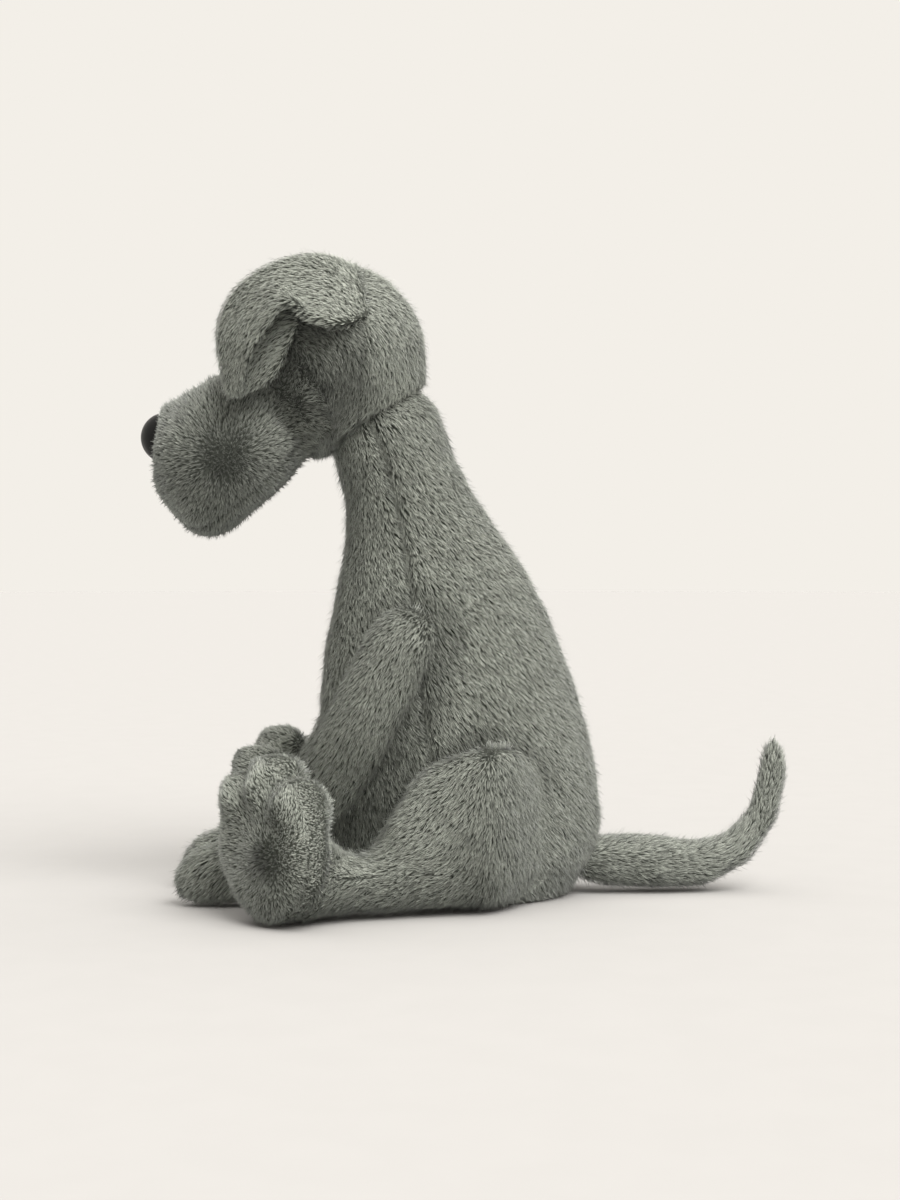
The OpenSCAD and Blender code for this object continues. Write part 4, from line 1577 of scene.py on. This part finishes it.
@dataclass
class Studio:
    """A pale floor under an even sky that is brighter overhead, a soft key and the photograph's camera."""

    reach: float = 14.0
    steps: int = 96
    drop: float = 0.6 * MM
    distance: float = 0.9
    azimuth: float = 86.0
    eye_height: float = 0.15
    tilt: float = 0.83
    lens: float = 57.8
    sensor: float = 36.0
    backdrop: Colour = linear(243, 239, 232)
    low: Colour = (0.95, 0.93, 0.9, 1.0)
    dim: Colour = (0.2, 0.2, 0.19, 1.0)
    dim_z: Pair = (0.28, 0.45)
    overhead: Colour = (2.0, 1.98, 1.95, 1.0)
    overhead_z: Pair = (0.55, 0.9)
    key_from: Triple = (0.6, 0.36, 0.72)
    key_power: float = 3.6
    key_spread: float = 45.0

    def floor(self, look: Material) -> None:
        """Lays a round floor that reaches out of sight.

        Args:
            look: the floor's material.
        """
        turns = np.linspace(0, 2 * math.pi, self.steps, endpoint=False)
        points = [(self.reach * math.cos(a), self.reach * math.sin(a), -self.drop) for a in turns]
        mesh = bpy.data.meshes.new("floor")
        mesh.from_pydata(points, [], [tuple(range(self.steps))])
        mesh.materials.append(look)
        add_object("floor", mesh)

    def sky(self) -> None:
        """Makes a world that is seen as a pale backdrop and gives light mostly from overhead."""
        world = bpy.data.worlds.new("world")
        world.use_nodes = True
        world.node_tree.nodes.clear()
        kit = NodeKit(world.node_tree)
        place = kit.add("ShaderNodeTexCoord")
        parts = kit.add("ShaderNodeSeparateXYZ")
        kit.link(place.outputs["Generated"], parts.inputs["Vector"])
        up = parts.outputs["Z"]
        lower = kit.mixed(kit.ranged(up, *self.dim_z), kit.colour(self.low), kit.colour(self.dim))
        thrown = kit.mixed(kit.ranged(up, *self.overhead_z), lower, kit.colour(self.overhead))
        light = kit.add("ShaderNodeBackground")
        kit.link(kit.mixed(kit.seen(), thrown, kit.colour(self.backdrop)), light.inputs["Color"])
        output = kit.add("ShaderNodeOutputWorld")
        kit.link(light.outputs["Background"], output.inputs["Surface"])
        bpy.context.scene.world = world

    def key(self) -> None:
        """Hangs a large soft key above the dog."""
        data = bpy.data.lights.new("key", "SUN")
        data.energy, data.angle = self.key_power, math.radians(self.key_spread)
        made = add_object("key", data)
        made.rotation_mode = "QUATERNION"
        made.rotation_quaternion = Vector(self.key_from).to_track_quat("Z", "Y")

    def camera(self) -> None:
        """Sets the camera where the photograph was taken from."""
        data = bpy.data.cameras.new("camera")
        data.lens, data.sensor_width = self.lens, self.sensor
        made = add_object("camera", data)
        turn = math.radians(self.azimuth)
        made.location = (self.distance * math.sin(turn), -self.distance * math.cos(turn), self.eye_height)
        made.rotation_euler = (math.radians(90 - self.tilt), 0, turn)
        bpy.context.scene.camera = made
        LOG.info("studio: camera at %s", tuple(round(x, 3) for x in made.location))

    def build(self, look: Material) -> None:
        """Builds floor, sky, key and camera.

        Args:
            look: the floor's material.
        """
        self.floor(look)
        self.sky()
        self.key()
        bpy.context.scene.view_settings.view_transform = "Standard"
        self.camera()


def middle_parts() -> list[SoftPart]:
    """Lists the stuffed parts in the dog's middle with their panels and seams.

    Returns:
        The torso, the head and the tail.
    """
    sides = ("body_left", "body_right")
    faces = ("face_left", "face_right")
    muzzles = ("muzzle_left", "muzzle_right")
    tails = ("tail_top", "tail_bottom")
    chest_seams = (*(("chest", side) for side in sides), sides)
    head_seams = (*(("head_back", face) for face in faces), muzzles, *((muzzle, "chin") for muzzle in muzzles))
    stuffing = ("head_stuffing", "muzzle_stuffing")
    return [
        Torso("torso_skin", "torso", (*sides, "chest", "seat"), ("body_stuffing", "pellet_bag"), chest_seams, seed=21),
        Head("head_skin", "head", ("head_back", *faces, *muzzles, "chin"), stuffing, head_seams, seed=22),
        Tail("tail_skin", "tail", tails, ("tail_stuffing",), (tails,), seed=23),
    ]


def side_parts(side: Side) -> list[SoftPart]:
    """Lists the stuffed parts on one side of the dog.

    Args:
        side: the side.

    Returns:
        Its ear, arm and leg.
    """
    word, seed = side.word, 40 + side.value
    cloths = (f"ear_outer_{word}", f"ear_lining_{word}")
    arms = (f"arm_outer_{word}", f"arm_inner_{word}")
    legs = (f"leg_outer_{word}", f"leg_inner_{word}")
    panels = (*legs, f"sole_{word}")
    return [
        Ear(f"ear_skin_{word}", f"ear_{word}", cloths, (), seed=seed, side=side),
        Arm(f"arm_skin_{word}", f"arm_{word}", arms, (f"arm_stuffing_{word}",), (arms,), seed=seed + 10, side=side),
        Leg(f"leg_skin_{word}", f"leg_{word}", panels, (f"leg_stuffing_{word}",), (legs,), seed=seed + 20, side=side),
    ]


def main() -> None:
    """Builds the dog's looks and the studio, piece by piece."""
    logging.basicConfig(level=logging.INFO, format="%(name)s %(message)s")
    # The pile's dark root and the dark backing are partly their own colour, partly painted shade between the hairs
    plush = PileFinish("plush", linear(76, 78, 71), linear(135, 138, 127), linear(197, 200, 187))
    backing = GrainFinish(
        "backing", linear(64, 66, 60), linear(82, 84, 77), scale=900, gloss=0.9, matt=1.0, specular=0.1, relief=0.3
    )
    black = GrainFinish(
        "black_plastic", linear(8, 8, 8), linear(15, 15, 14), scale=700, gloss=0.3, matt=0.46, specular=0.2, relief=0.12
    )
    pale = GrainFinish(
        "washer_plastic",
        linear(208, 209, 204),
        linear(222, 223, 219),
        scale=500,
        gloss=0.4,
        matt=0.55,
        specular=0.5,
        relief=0.05,
    )
    floor = FloorFinish(
        "floor", linear(179, 176, 172), linear(180, 177, 173), scale=40, gloss=0.95, matt=1.0, specular=0.0, relief=0.0
    )
    looks = {"plush": plush.material(), "backing": backing.material()}
    for part in (*middle_parts(), *side_parts(Side.LEFT), *side_parts(Side.RIGHT)):
        part.build(looks)
    Buttons().build(black.material(), pale.material())
    Studio().build(floor.material())


if __name__ == "__main__":
    main()
